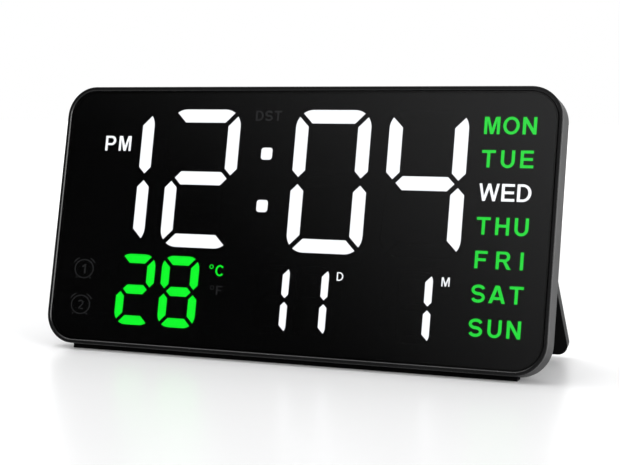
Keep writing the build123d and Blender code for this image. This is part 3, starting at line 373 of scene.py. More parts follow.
# %% [markdown]
# ## Finishes that change with depth
# Two mouldings change their finish from front to back. Each could be cut in two with a finish on either
# half, but the frame's solids stay whole, so one material holds both finishes and a mask chooses. The
# depth of a point is its Object coordinate measured along the face's normal, and a ramp on that depth is
# the mask. The front frame is polished on the rim, which draws the bright lines round the panel, and
# textured on its sides. The reflector behind the film is moulded in white, so that each light well throws
# its light forward, and its front is inked black, so that no pale edge shows beside a dark bar.

# %% Make the frame finish
RIM_DEPTH = 0.9 * MM
RIM_EDGE = 0.4 * MM
SIDE_ROUGHER = 1.65
CASE_GRAIN = 0.10
CASE_SPECULAR = 0.27


def front_mask(tree, node, depth, edge):
    """Mask that is 1 on the front of a node and 0 behind a depth."""
    height = vector_math(tree, "DOT_PRODUCT", object_coordinates(tree), face_normal)
    line = reach(node, face_normal)[1] - depth
    return step_mask(tree, height.outputs["Value"], (line - edge, line), "LINEAR")


def make_case():
    """Black moulding, smooth on the rim and textured on its sides."""
    material, tree, shader = new_material("case_satin")
    grain = use_group(tree, grain_group, Scale=2600.0, Roughness_low=0.24, Roughness_high=0.38)
    smear = use_group(tree, handling_group)
    colour = blend_colours(tree, smear.outputs["Mask"], grey(0.004), grey(0.006))
    rim = front_mask(tree, "front_frame", RIM_DEPTH, RIM_EDGE)
    rough = combine(tree, "MULTIPLY", grain.outputs["Roughness"], spread(tree, rim, SIDE_ROUGHER, 1.0))
    tree.links.new(colour, shader.inputs["Base Color"])
    tree.links.new(rough, shader.inputs["Roughness"])
    add_bump(tree, shader, grain.outputs["Height"], CASE_GRAIN, GRAIN_DEPTH)
    shader.inputs["Specular IOR Level"].default_value = CASE_SPECULAR
    return material


case_satin = make_case()
print(case_satin.name, "is smooth to", round(RIM_DEPTH / MM, 2), "mm behind the rim's front")

# %% Make the reflector finish
INKED_DEPTH = 2.3 * MM
INK_EDGE = 0.2 * MM
REFLECTOR_WHITE = (0.78, 0.78, 0.76)
REFLECTOR_SPECULAR = 0.10


def make_reflector():
    """White moulding whose front is inked black."""
    material, tree, shader = new_material("reflector_inked")
    ink = front_mask(tree, "reflector_block", INKED_DEPTH, INK_EDGE)
    tree.links.new(blend_colours(tree, ink, REFLECTOR_WHITE, grey(0.0016)), shader.inputs["Base Color"])
    grain = use_group(tree, grain_group, Scale=1800.0, Roughness_low=0.5, Roughness_high=0.8)
    tree.links.new(grain.outputs["Roughness"], shader.inputs["Roughness"])
    shader.inputs["Specular IOR Level"].default_value = REFLECTOR_SPECULAR
    return material


reflector_inked = make_reflector()
print(reflector_inked.name, "is black to", round(INKED_DEPTH / MM, 2), "mm behind its own front")

# %% [markdown]
# ## Smoked lens
# The panel is polished acrylic that lets about half of the light through. A plain black gloss would look
# alike from afar, but the bars have to be seen through it, at their depth. So it is glass to the shader:
# full transmission, a refractive index of 1.49 and a grey tint. What makes it look polished, not perfect,
# is a roughness that is nearly zero and rises a little where hands have touched it. Round its edge the
# panel is printed black, so that the wall of the frame does not show through. The print is a mask on the
# tint: the distance of a point from the outline of a rounded rectangle, which takes only a few vector
# nodes.

# %% Measure from the panel's edge
def outline_distance(tree, node, rounding):
    """Distance of a point past the middles of a node's rounded corners; on its outline, the rounding."""
    a_low, a_high = reach(node, face_along)
    b_low, b_high = reach(node, face_up)
    flat = tree.nodes.new("ShaderNodeCombineXYZ")
    place = object_coordinates(tree)
    for label, direction in (("X", face_along), ("Y", face_up)):
        along = vector_math(tree, "DOT_PRODUCT", place, direction)
        tree.links.new(along.outputs["Value"], flat.inputs[label])
    middle = ((a_low + a_high) / 2, (b_low + b_high) / 2, 0.0)
    centred = vector_math(tree, "SUBTRACT", flat.outputs["Vector"], middle)
    one_corner = vector_math(tree, "ABSOLUTE", centred.outputs["Vector"])
    turn = ((a_high - a_low) / 2 - rounding, (b_high - b_low) / 2 - rounding, 0.0)
    past_turn = vector_math(tree, "SUBTRACT", one_corner.outputs["Vector"], turn)
    outside = vector_math(tree, "MAXIMUM", past_turn.outputs["Vector"], (0.0, 0.0, 0.0))
    return vector_math(tree, "LENGTH", outside.outputs["Vector"]).outputs["Value"]


lens_sides = [reach("front_lens", direction) for direction in (face_along, face_up)]
print("panel in mm:", [round((high - low) / MM, 1) for low, high in lens_sides])

# %% Make the lens finish
LENS_TINT = (0.46, 0.465, 0.475)
ACRYLIC_IOR = 1.49
BORDER_WIDTH = 1.0 * MM
BORDER_EDGE = 0.2 * MM
BORDER_ROUND = 14.0 * MM


def make_lens():
    """Smoked acrylic with a black border and faint smears in its gloss."""
    material, tree, shader = new_material("smoked_acrylic")
    smear = use_group(tree, handling_group, Scale=9.0, Low=0.035, High=0.07)
    tree.links.new(smear.outputs["Mask"], shader.inputs["Roughness"])
    inner = BORDER_ROUND - BORDER_WIDTH
    distance = outline_distance(tree, "front_lens", BORDER_ROUND)
    border = step_mask(tree, distance, (inner, inner + BORDER_EDGE), "LINEAR")
    tree.links.new(blend_colours(tree, border, LENS_TINT, grey(0.02)), shader.inputs["Base Color"])
    shader.inputs["Transmission Weight"].default_value = 1.0
    shader.inputs["IOR"].default_value = ACRYLIC_IOR
    return material


smoked_acrylic = make_lens()
print(smoked_acrylic.name, "with a border of", round(BORDER_WIDTH / MM, 2), "mm")

# %% [markdown]
# ## Light of the bars
# Each bar is a milky diffuser over an LED. A small lamp in every light well would light it as in the real
# clock, but many tiny lamps render slowly and leave specks, so the diffuser itself emits, a little
# unevenly, as light piles up near the LED. A dark one is the same plastic with no light behind a smoked
# panel; its colour is painted almost black, as painted shade for that missing light. The signs that are
# switched off still show as a dim grey: a faint painted glow for light that leaks inside the case.

# %% Make the lit finishes
WHITE_LIGHT = (1.0, 1.0, 1.0)
WHITE_LOW = (0.93, 0.94, 0.97)
GREEN_LIGHT = (0.002, 1.0, 0.020)
GREEN_LOW = (0.002, 0.90, 0.016)
WORD_LIGHT = (0.004, 1.0, 0.030)
WORD_LOW = (0.003, 0.90, 0.024)
DIM_LIGHT = (1.0, 1.0, 1.0)
DIM_LOW = (0.7, 0.7, 0.72)
POOL_SCALE = 150.0
WHITE_POWER = 2.25
GREEN_POWER = 2.1
WORD_GREEN_POWER = 1.5
DIM_POWER = 0.028


def glowing(name, body, light, low, power):
    """Milky diffuser that glows unevenly."""
    material, tree, shader = new_material(name)
    pools = noise(tree, POOL_SCALE, detail=2.0, vector=object_coordinates(tree))
    tree.links.new(blend_colours(tree, pools, low, light), shader.inputs["Emission Color"])
    shader.inputs["Emission Strength"].default_value = power
    grain = use_group(tree, grain_group, Scale=3000.0, Roughness_low=0.35, Roughness_high=0.6)
    tree.links.new(grain.outputs["Roughness"], shader.inputs["Roughness"])
    shader.inputs["Base Color"].default_value = (*body, 1.0)
    return material


white_lit = glowing("white_lit", (0.8, 0.8, 0.8), WHITE_LIGHT, WHITE_LOW, WHITE_POWER)
green_lit = glowing("green_lit", (0.02, 0.5, 0.07), GREEN_LIGHT, GREEN_LOW, GREEN_POWER)
word_green = glowing("word_green", (0.1, 0.7, 0.2), WORD_LIGHT, WORD_LOW, WORD_GREEN_POWER)
# The switched-off signs get a faint painted glow, standing in for light that leaks inside the case.
leak_glow = glowing("leak_glow", (0.05, 0.05, 0.05), DIM_LIGHT, DIM_LOW, DIM_POWER)
# Idle bars: the milky plastic painted almost black, as painted shade for a diffuser with no light behind
# it.
dark_diffuser = plastic("dark_diffuser", grey(0.0016), grey(0.0020), 3000, (0.55, 0.80), 0.05, 0.10)
diffusers = (white_lit, green_lit, word_green, leak_glow, dark_diffuser)
print("diffusers:", [finish.name for finish in diffusers])

# %% [markdown]
# ## Dressing the frame
# The solids of the frame have the right shapes already, so each keeps its mesh and only gets a finish in
# its material slot. A dressed copy of each would look the same, but it would have to replace the node and
# follow its body, and a slot costs nothing.

# %% Dress the frame
dressing = (
    (case_satin, ["front_frame"]),
    (back_texture, ["rear_cover", "battery_door"]),
    (stand_texture, ["kickstand"]),
    (smoked_acrylic, ["front_lens"]),
    (film_print, ["legend_film"]),
    (white_lit, ["hour_segments", "minute_segments", "colon_dots", "date_segments", "indicator_tiles"]),
    (green_lit, ["temperature_segments"]),
    (word_green, ["weekday_tiles"]),
    (dark_diffuser, ["idle_segments"]),
    (reflector_inked, ["reflector_block"]),
    (led_epoxy, ["white_leds", "green_leds"]),
    (board_mask, ["main_board"]),
    (chip_epoxy, ["controller_chip", "driver_chips", "clock_chip", "chip_passives"]),
    (chip_epoxy, ["buzzer", "tact_switches"]),
    (plated_steel, ["crystal", "usb_socket", "battery_contact", "coin_cell"]),
    (plated_steel, ["hinge_pins", "case_screws", "board_screws"]),
    (can_aluminium, ["capacitor"]),
    (bead_epoxy, ["thermistor"]),
    (holder_plastic, ["battery_holder"]),
    (grip_rubber, ["base_strip", "stand_pads"]),
    (button_satin, [name for name in nodes if name.endswith("_button")]),
)
for finish, names in dressing:
    for name in names:
        nodes[name].data.materials.clear()
        nodes[name].data.materials.append(finish)
print("dressed", sum(len(names) for _, names in dressing), "of", len(nodes), "nodes")

# %% [markdown]
# ## Letters
# The words on the film are a bold plain sans. A text object could set them, but Blender's own typeface
# comes in one weight, lighter than this, so a letter is drawn here by its outline for a cap height of 1,
# with straight strokes as corners and bowls as arcs of an ellipse. Each letter's function takes the widths
# of the stems and bars, so that one drawing serves heavy words and finer ones, and gives the letter's
# width and its outlines. Round letters overshoot the cap height a little, or they would look small beside
# the straight ones.

# %% Pens for letters
STEM = 0.185
BAR = 0.165
OVERSHOOT = 0.015
ARC_STEPS = 18
OVAL_POINTS = 24


def arc(x, y, rx, ry, start, stop, steps=ARC_STEPS):
    """Points of an elliptical arc, angles in degrees."""
    angles = [math.radians(start + (stop - start) * i / steps) for i in range(steps + 1)]
    return [(x + rx * math.cos(angle), y + ry * math.sin(angle)) for angle in angles]


def oval(x, y, rx, ry, points=OVAL_POINTS):
    """Points of a whole ellipse."""
    return arc(x, y, rx, ry, 0, 360 - 360 / points, points - 1)


def stroke(line, width):
    """Outline of a line drawn with a flat pen of the given width."""
    left, right = [], []
    for i, point in enumerate(line):
        before = Vector(line[max(i - 1, 0)])
        after = Vector(line[min(i + 1, len(line) - 1)])
        heading = (after - before).normalized()
        side = Vector((-heading.y, heading.x)) * width / 2
        left.append(tuple(Vector(point) + side))
        right.append(tuple(Vector(point) - side))
    return left + right[::-1]


print("a stem is", STEM, "and a bar", BAR, "of the cap height")

# %% Draw A to E
def letter_a(stem, bar):
    w, foot, shoulder, bar_low = 0.96, stem * 1.12, stem * 0.68, 0.20
    slope = w / 2 - shoulder
    low_in = foot + bar_low * slope
    bar_high = bar_low + bar * 0.95
    high_in = foot + bar_high * slope
    peak = (w / 2 - foot) / slope
    outer = [
        (0, 0), (w / 2 - shoulder, 1), (w / 2 + shoulder, 1), (w, 0), (w - foot, 0),
        (w - low_in, bar_low), (low_in, bar_low), (foot, 0),
    ]
    hole = [(high_in, bar_high), (w - high_in, bar_high), (w / 2, min(peak, 0.84))]
    return w, [outer, hole]


def letter_c(stem, bar):
    rx, ry = 0.45, 0.5 + OVERSHOOT
    outer = arc(rx, 0.5, rx, ry, 40, 320)
    inner = arc(rx, 0.5, rx - stem, ry - bar, 320, 40)
    return 0.86, [outer + inner]


def letter_d(stem, bar):
    w, x0 = 0.81, 0.33
    outer = [(0, 0), (0, 1), *arc(x0, 0.5, w - x0, 0.5, 90, -90)]
    level = bar * 0.92
    hole = [(stem, level), (stem, 1 - level), *arc(x0, 0.5, w - x0 - stem, 0.5 - level, 90, -90)]
    return w, [outer, hole]


def letter_e(stem, bar):
    w, middle = 0.76, 0.5 + bar / 2
    arm = w - 0.05
    return w, [[
        (0, 0), (0, 1), (w - 0.02, 1), (w - 0.02, 1 - bar), (stem, 1 - bar), (stem, middle), (arm, middle),
        (arm, middle - bar), (stem, middle - bar), (stem, bar), (w, bar), (w, 0),
    ]]


letters = {"A": letter_a, "C": letter_c, "D": letter_d, "E": letter_e}
print("letters drawn:", "".join(letters))

# %% Draw F to N
def letter_f(stem, bar):
    w, middle = 0.72, 0.5 + bar / 2
    arm = w - 0.08
    return w, [[
        (0, 0), (0, 1), (w, 1), (w, 1 - bar), (stem, 1 - bar), (stem, middle), (arm, middle),
        (arm, middle - bar), (stem, middle - bar), (stem, 0),
    ]]


def letter_h(stem, bar):
    w, low, high = 0.80, 0.5 - bar / 2 + 0.02, 0.5 + bar / 2 + 0.02
    return w, [[
        (0, 0), (0, 1), (stem, 1), (stem, high), (w - stem, high), (w - stem, 1), (w, 1), (w, 0),
        (w - stem, 0), (w - stem, low), (stem, low), (stem, 0),
    ]]


def letter_i(stem, bar):
    return stem, [[(0, 0), (0, 1), (stem, 1), (stem, 0)]]


def letter_m(stem, bar):
    w, thin, tip, top = 0.91, stem * 0.93, stem * 0.49, stem * 1.42
    return w, [[
        (0, 0), (0, 1), (top, 1), (w / 2, 0.33), (w - top, 1), (w, 1), (w, 0), (w - thin, 0),
        (w - thin, 0.78), (w / 2 + tip, 0), (w / 2 - tip, 0), (thin, 0.78), (thin, 0),
    ]]


def letter_n(stem, bar):
    w, rise = 0.80, 0.335
    return w, [[
        (0, 0), (0, 1), (stem, 1), (w - stem, rise), (w - stem, 1), (w, 1), (w, 0), (w - stem, 0),
        (stem, 1 - rise), (stem, 0),
    ]]


letters.update({"F": letter_f, "H": letter_h, "I": letter_i, "M": letter_m, "N": letter_n})
print("letters drawn:", "".join(letters))

# %% Draw O to S
def letter_o(stem, bar):
    rx, ry = 0.475, 0.5 + OVERSHOOT
    return 2 * rx, [oval(rx, 0.5, rx, ry), oval(rx, 0.5, rx - stem, ry - bar)]


def letter_p(stem, bar):
    w, x0, low = 0.78, 0.46, 0.37
    rise = (1 - low) / 2
    level = bar * 0.9
    outer = [(0, 0), (0, 1), *arc(x0, 1 - rise, w - x0, rise, 90, -90), (stem, low), (stem, 0)]
    hole = [
        (stem, low + level), (stem, 1 - level),
        *arc(x0 - 0.04, 1 - rise, w - x0 - stem + 0.04, rise - level, 90, -90),
    ]
    return w, [outer, hole]


def letter_r(stem, bar):
    w, x0, low, bowl = 0.88, 0.52, 0.42, 0.80
    rise = (1 - low) / 2
    level = bar * 0.9
    outer = [
        (0, 0), (0, 1), *arc(x0, 1 - rise, bowl - x0, rise, 90, -75), (w, 0), (w - 0.24, 0),
        (0.40, low), (stem, low), (stem, 0),
    ]
    hole = [
        (stem, low + level), (stem, 1 - level),
        *arc(x0 - 0.04, 1 - rise, bowl - x0 - stem + 0.04, rise - level, 90, -90),
    ]
    return w, [outer, hole]


def letter_s(stem, bar):
    w, pen = 0.80, stem * 0.95
    rx = (w - pen) / 2
    ry = (1 + 2 * OVERSHOOT - pen) / 4
    top = 1 + OVERSHOOT - pen / 2 - ry
    low = pen / 2 + ry - OVERSHOOT
    line = arc(w / 2, top, rx, ry, 15, 262) + arc(w / 2, low, rx, ry, 82, -165)
    return w, [stroke(line, pen)]


letters.update({"O": letter_o, "P": letter_p, "R": letter_r, "S": letter_s})
print("letters drawn:", "".join(letters))

# %% Draw T to W and the numerals
def letter_t(stem, bar):
    w = 0.80
    left = (w - stem) / 2
    return w, [[
        (0, 1), (w, 1), (w, 1 - bar), (w - left, 1 - bar), (w - left, 0), (left, 0), (left, 1 - bar),
        (0, 1 - bar),
    ]]


def letter_u(stem, bar):
    w, turn = 0.80, 0.37
    depth = turn + OVERSHOOT
    outer = [(0, 1), *arc(w / 2, turn, w / 2, depth, 180, 360), (w, 1), (w - stem, 1)]
    inner = arc(w / 2, turn, w / 2 - stem, depth - bar, 360, 180)
    return w, [outer + inner + [(stem, 1)]]


def letter_w(stem, bar):
    w, pen, lean = 1.18, stem * 0.90, 0.22
    valley = lean + pen / 2
    return w, [[
        (0, 1), (pen, 1), (valley, 0.30), (w / 2 - pen / 2, 1), (w / 2 + pen / 2, 1), (w - valley, 0.30),
        (w - pen, 1), (w, 1), (w - lean, 0), (w - lean - pen, 0), (w / 2, 0.70), (lean + pen, 0),
        (lean, 0),
    ]]


def digit_one(stem, bar):
    w = 0.36
    left = w - stem
    return w, [[(left, 0), (left, 0.74), (0, 0.66), (0, 0.66 + bar), (0.22, 1), (w, 1), (w, 0)]]


def digit_two(stem, bar):
    w = 0.62
    line = arc(0.31, 0.68, 0.23, 0.24, 160, -35) + [(0.14, bar / 2)]
    return w, [stroke(line, bar), [(0.27, 0), (w, 0), (w, bar), (0.32, bar)]]


letters.update({"T": letter_t, "U": letter_u, "W": letter_w, "1": digit_one, "2": digit_two})
print("letters drawn:", "".join(letters))

# %% [markdown]
# ## Words on the film
# A word is set to a width: its letters keep their own shape and the space between them takes up the rest,
# which is how short names such as FRI fill the column as well as MON does. The windows behind the words
# are solids of the frame, so their places are read from there. A flat curve object fills the outlines and
# leaves the counters open, and is then turned into a mesh as thin as a coat of ink, which lies on the film
# in the narrow gap behind the lens. A picture of the words on the film would need fewer faces, but its
# edges would blur up close.

# %% Fill outlines with ink
INK = 0.02 * MM
ink_depth = film_depth - INK / 2


def fill_outlines(name, outlines, thickness):
    """Flat mesh, a little thick, from closed outlines; an outline inside another is a hole."""
    curve = bpy.data.curves.new(name, "CURVE")
    curve.dimensions = "2D"
    curve.fill_mode = "BOTH"
    curve.extrude = thickness / 2
    for points in outlines:
        spline = curve.splines.new("POLY")
        spline.points.add(len(points) - 1)
        for slot, (x, y) in zip(spline.points, points):
            slot.co = (x, y, 0.0, 1.0)
        spline.use_cyclic_u = True
    holder = bpy.data.objects.new(name, curve)
    mesh = bpy.data.meshes.new_from_object(holder)
    bpy.data.objects.remove(holder)
    bpy.data.curves.remove(curve)
    return mesh


print("ink lies", round(ink_depth / MM, 2), "mm behind the rim")

# %% Space the letters of a word
def word_outlines(word, width, height, weight=1.0):
    """Outlines of a word of that width and cap height, its lower left corner at the origin."""
    shapes = [letters[character](STEM * weight, BAR * weight) for character in word]
    natural = sum(shape[0] for shape in shapes) * height
    gap = (width - natural) / max(len(word) - 1, 1)
    outlines = []
    left = 0.0
    for advance, outline in shapes:
        for points in outline:
            outlines.append([(left + x * height, y * height) for x, y in points])
        left += advance * height + gap
    return outlines


def moved(outlines, dx, dy):
    """Outlines shifted in their plane."""
    return [[(x + dx, y + dy) for x, y in points] for points in outlines]


print("outlines in MON:", len(word_outlines("MON", 3.0, 1.0)))

# %% Find the windows
WELD = 0.001 * MM


def islands(node):
    """Box on the face, as left, right, bottom and top, of each separate solid of a node."""
    work = bmesh.new()
    work.from_mesh(nodes[node].data)
    bmesh.ops.remove_doubles(work, verts=work.verts, dist=WELD)
    left_over = set(work.verts)
    boxes = []
    while left_over:
        group = [left_over.pop()]
        for vertex in group:
            for edge in vertex.link_edges:
                other = edge.other_vert(vertex)
                if other in left_over:
                    left_over.remove(other)
                    group.append(other)
        across = [vertex.co.dot(face_along) for vertex in group]
        upward = [vertex.co.dot(face_up) - case_bottom for vertex in group]
        boxes.append((min(across), max(across), min(upward), max(upward)))
    work.free()
    return boxes


def from_left(box):
    """Order of windows from the left, to the millimetre, and from below in one column."""
    return round(box[0] / MM), box[2]


day_boxes = sorted(islands("weekday_tiles"), key=lambda box: -box[2])
sign_boxes = sorted(islands("indicator_tiles"), key=from_left)
print("windows:", len(day_boxes), "for the days and", len(sign_boxes), "for the signs")

# %% Set the weekday column
WORD_MARGIN = 0.7 * MM
DAY_CAP = 8.45 * MM
# each name with its inset from the margin and its width, in mm
DAY_WORDS = {
    "MON": (0.3, 25.6), "TUE": (0.1, 25.4), "WED": (0.0, 25.5), "THU": (0.0, 25.3), "FRI": (0.4, 23.6),
    "SAT": (-0.1, 25.2), "SUN": (-0.2, 25.2),
}
TODAY = "WED"
WHITE_WEIGHT = 0.94


def finish_piece(name, mesh, matrix, material, body):
    """Put a mesh in place for good, give it its finish and let it ride on a body."""
    mesh.transform(matrix)
    mesh.materials.clear()
    mesh.materials.append(material)
    mesh.name = name
    piece = bpy.data.objects.new(name, mesh)
    bpy.context.scene.collection.objects.link(piece)
    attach(piece, body)


for (word, (inset, width)), (left, _, bottom, top) in zip(DAY_WORDS.items(), day_boxes):
    lit = word == TODAY
    outlines = word_outlines(word, width * MM, DAY_CAP, WHITE_WEIGHT if lit else 1.0)
    mesh = fill_outlines(word, outlines, INK)
    a = left + WORD_MARGIN + inset * MM
    matrix = face_matrix(a, (bottom + top - DAY_CAP) / 2, ink_depth)
    finish_piece(
        f"day_{word.lower()}", mesh, matrix, white_lit if lit else word_green, "clock_body",
    )
print("weekday names set in", len(day_boxes), "windows")

# %% Set the small words
bell_low, bell_high, pm_box, unit_low, unit_high, dst_box, date_box, month_box = sign_boxes


def set_word(name, word, box, size, weight, material, nudge=(0.0, 0.0)):
    """Word of a given width and cap height in mm, centred on its window or nudged from there."""
    left, right, bottom, top = box
    width, height = size[0] * MM, size[1] * MM
    mesh = fill_outlines(name, word_outlines(word, width, height, weight), INK)
    a = (left + right - width) / 2 + nudge[0] * MM
    b = (bottom + top - height) / 2 + nudge[1] * MM
    finish_piece(name, mesh, face_matrix(a, b, ink_depth), material, "clock_body")
    print(name, "is", size[0], "by", size[1], "mm")


set_word("sign_pm", "PM", pm_box, (15.5, 8.0), WHITE_WEIGHT, white_lit)
set_word("sign_dst", "DST", dst_box, (14.5, 5.3), 1.0, leak_glow)
set_word("sign_day", "D", date_box, (3.7, 4.2), 0.80, white_lit, nudge=(0.0, 0.25))
set_word("sign_month", "M", month_box, (4.3, 4.4), 0.75, white_lit, nudge=(0.5, 0.25))

# %% [markdown]
# ## Degree signs and alarm bells
# The unit is a small ring and a letter. The two alarm signs are little clocks: a ring with a numeral, two
# short arcs for the bells and two feet. They could be bevelled curves, but rings and strokes drawn with a
# thin pen make outlines like those of the letters, and one fill serves both.

# %% Set the units
DEGREE_RADIUS = 0.95 * MM
DEGREE_PEN = 0.45 * MM
DEGREE_AT = (1.25 * MM, 1.95 * MM)
UNIT_LETTER_AT = 3.6 * MM
UNIT_LETTER_CAP = 0.85
UNIT_WEIGHT = 0.95


def ring(x, y, radius, pen):
    """Outlines of a ring drawn with a pen."""
    outer = radius + pen / 2
    inner = radius - pen / 2
    return [oval(x, y, outer, outer), oval(x, y, inner, inner)]


def set_unit(name, letter, box, height, inset, material):
    """Degree ring and letter in a window, at an inset from its left edge."""
    left, _, bottom, top = box
    outlines = ring(DEGREE_AT[0], height - DEGREE_AT[1], DEGREE_RADIUS, DEGREE_PEN)
    cap = height * UNIT_LETTER_CAP
    outlines += moved(word_outlines(letter, 0.0, cap, UNIT_WEIGHT), UNIT_LETTER_AT, 0.0)
    mesh = fill_outlines(name, outlines, INK)
    matrix = face_matrix(left + inset, (bottom + top - height) / 2, ink_depth)
    finish_piece(name, mesh, matrix, material, "clock_body")
    print(name, "is", round(height / MM, 1), "mm high")


set_unit("sign_celsius", "C", unit_high, 6.6 * MM, 0.7 * MM, green_lit)
set_unit("sign_fahrenheit", "F", unit_low, 5.6 * MM, 2.1 * MM, leak_glow)

# %% Set the alarm bells
BELL_RADIUS = 5.2 * MM
BELL_PEN = 0.7 * MM
EAR_RADIUS = 6.8 * MM
EAR_FROM_TOP = (27, 60)
EAR_STEPS = 8
FOOT_REACH = 7.0 * MM
FOOT_FROM_BOTTOM = 38
NUMERAL_HEIGHT = 5.4 * MM
NUMERAL_WEIGHT = 0.85
BELL_STRETCH = (1.07, 0.94)


def bell_outlines(numeral):
    """An alarm clock with a numeral, round its own middle and a little wide."""
    outlines = ring(0, 0, BELL_RADIUS, BELL_PEN)
    for side in (-1, 1):
        start, stop = [90 - side * angle for angle in EAR_FROM_TOP]
        ear = arc(0, 0, EAR_RADIUS, EAR_RADIUS, start, stop, EAR_STEPS)
        outlines.append(stroke(ear, BELL_PEN))
        heel = math.radians(270 + side * FOOT_FROM_BOTTOM)
        inner = BELL_RADIUS + BELL_PEN
        foot = [
            (inner * math.cos(heel), inner * math.sin(heel)),
            (FOOT_REACH * math.cos(heel), FOOT_REACH * math.sin(heel)),
        ]
        outlines.append(stroke(foot, BELL_PEN))
    width = letters[numeral](STEM, BAR)[0] * NUMERAL_HEIGHT
    shape = word_outlines(numeral, width, NUMERAL_HEIGHT, NUMERAL_WEIGHT)
    outlines += moved(shape, -width / 2, -NUMERAL_HEIGHT / 2)
    wide, high = BELL_STRETCH
    return [[(x * wide, y * high) for x, y in points] for points in outlines]


for numeral, (left, right, bottom, top) in (("1", bell_high), ("2", bell_low)):
    mesh = fill_outlines("bell", bell_outlines(numeral), INK)
    matrix = face_matrix((left + right) / 2, (bottom + top) / 2, ink_depth)
    finish_piece(f"sign_alarm_{numeral}", mesh, matrix, leak_glow, "clock_body")
    print("bell", numeral, "has", len(mesh.polygons), "faces")

# %% [markdown]
# ## Marks on the buttons
# The back is handled by touch, so each button has a raised plain mark: a ring to set, a bell for the
# alarm, an arrow up, an arrow down and a sun for the light. A bump in the button's finish would not catch
# a finger, so the marks are geometry, filled from outlines as the words are and thicker. Each mark is
# moulded with its cap, rides on it and has a touch of pale paint, so that the eye finds it too.

# %% Draw the button marks
MARK_HEIGHT = 0.25 * MM
MARK_RADIUS = 1.9 * MM
MARK_PEN = 0.5 * MM
ARROW_FOOT = 0.7
SET_RING = 0.8
SUN_DISC = 0.45
SUN_RAYS = 8
RAY_SPAN = (0.7, 1.1)
RAY_PEN = MARK_PEN * 0.8


def arrow(direction):
    """Triangle that points up or down."""
    tip = MARK_RADIUS * direction
    return [[(-MARK_RADIUS, -tip * ARROW_FOOT), (MARK_RADIUS, -tip * ARROW_FOOT), (0, tip)]]


def small_bell():
    """Bell with a clapper."""
    body = [
        (-MARK_RADIUS, -MARK_RADIUS * 0.55), (-MARK_RADIUS * 0.7, 0),
        *arc(0, MARK_RADIUS * 0.2, MARK_RADIUS * 0.68, MARK_RADIUS * 0.8, 180, 0, 12),
        (MARK_RADIUS * 0.7, 0), (MARK_RADIUS, -MARK_RADIUS * 0.55),
    ]
    return [body, oval(0, -MARK_RADIUS * 0.95, MARK_PEN * 0.7, MARK_PEN * 0.7, points=12)]


def sun():
    """Disc with rays round it."""
    outlines = [oval(0, 0, MARK_RADIUS * SUN_DISC, MARK_RADIUS * SUN_DISC)]
    for i in range(SUN_RAYS):
        turn = math.radians(360 / SUN_RAYS * i)
        ends = [MARK_RADIUS * share for share in RAY_SPAN]
        ray = [(end * math.cos(turn), end * math.sin(turn)) for end in ends]
        outlines.append(stroke(ray, RAY_PEN))
    return outlines


print("outlines in the sun:", len(sun()))

# %% Raise the button marks
marks = {
    "set_button": ring(0, 0, MARK_RADIUS * SET_RING, MARK_PEN),
    "alarm_button": small_bell(),
    "up_button": arrow(1),
    "down_button": arrow(-1),
    "light_button": sun(),
}
for name, outlines in marks.items():
    low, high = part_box(name)
    middle = (low + high) / 2
    cap_depth = rim_front - reach(name, face_normal)[0]
    b_low, b_high = reach(name, face_up)
    mesh = fill_outlines(name, outlines, MARK_HEIGHT)
    matrix = back_matrix(middle.x, (b_low + b_high) / 2 - case_bottom, cap_depth)
    finish_piece(f"{name}_mark", mesh, matrix, mark_paint, name)
print("marks raised on", len(marks), "buttons")

# %% [markdown]
# ## Grips that repeat
# The coin door is turned with a coin or with two fingers, so it has a ring of small ridges. A loop could
# copy one bar round the middle, but what repeats round a centre is a job for Geometry Nodes, where the
# count and the radius stay open to change: one small bar is instanced on the points of a circle and
# turned outwards, the instances are made real, and the result is frozen as a plain mesh. The tree's
# inputs are the bar, the count, the radius and the finish.

# %% Build the ridge tree
def make_ridge_tree():
    """Tree that repeats its input mesh round Z, each copy turned outwards."""
    tree = bpy.data.node_groups.new("ridge ring", "GeometryNodeTree")
    inputs = {"Bar": "Geometry", "Count": "Int", "Radius": "Float", "Finish": "Material"}
    for label, kind in inputs.items():
        tree.interface.new_socket(name=label, in_out="INPUT", socket_type=f"NodeSocket{kind}")
    tree.interface.new_socket(name="Ridges", in_out="OUTPUT", socket_type="NodeSocketGeometry")
    start = tree.nodes.new("NodeGroupInput")
    end = tree.nodes.new("NodeGroupOutput")
    copies = tree.nodes.new("GeometryNodeInstanceOnPoints")
    points = tree.nodes.new("GeometryNodeMeshCircle")
    tree.links.new(start.outputs["Count"], points.inputs["Vertices"])
    tree.links.new(start.outputs["Radius"], points.inputs["Radius"])
    heading = tree.nodes.new("FunctionNodeAlignRotationToVector")
    heading.axis = "X"
    place = tree.nodes.new("GeometryNodeInputPosition")
    tree.links.new(place.outputs["Position"], heading.inputs["Vector"])
    tree.links.new(heading.outputs["Rotation"], copies.inputs["Rotation"])
    tree.links.new(points.outputs["Mesh"], copies.inputs["Points"])
    tree.links.new(start.outputs["Bar"], copies.inputs["Instance"])
    real = tree.nodes.new("GeometryNodeRealizeInstances")
    paint = tree.nodes.new("GeometryNodeSetMaterial")
    tree.links.new(copies.outputs["Instances"], real.inputs["Geometry"])
    tree.links.new(real.outputs["Geometry"], paint.inputs["Geometry"])
    tree.links.new(start.outputs["Finish"], paint.inputs["Material"])
    tree.links.new(paint.outputs["Geometry"], end.inputs["Ridges"])
    return tree


ridge_ring = make_ridge_tree()
print("tree", ridge_ring.name, "has", len(ridge_ring.nodes), "nodes")

# %% Shape one ridge
DOOR_RIDGE = {"length": 1.8 * MM, "width": 0.7 * MM, "height": 0.3 * MM}
RIDGE_STEPS = 6


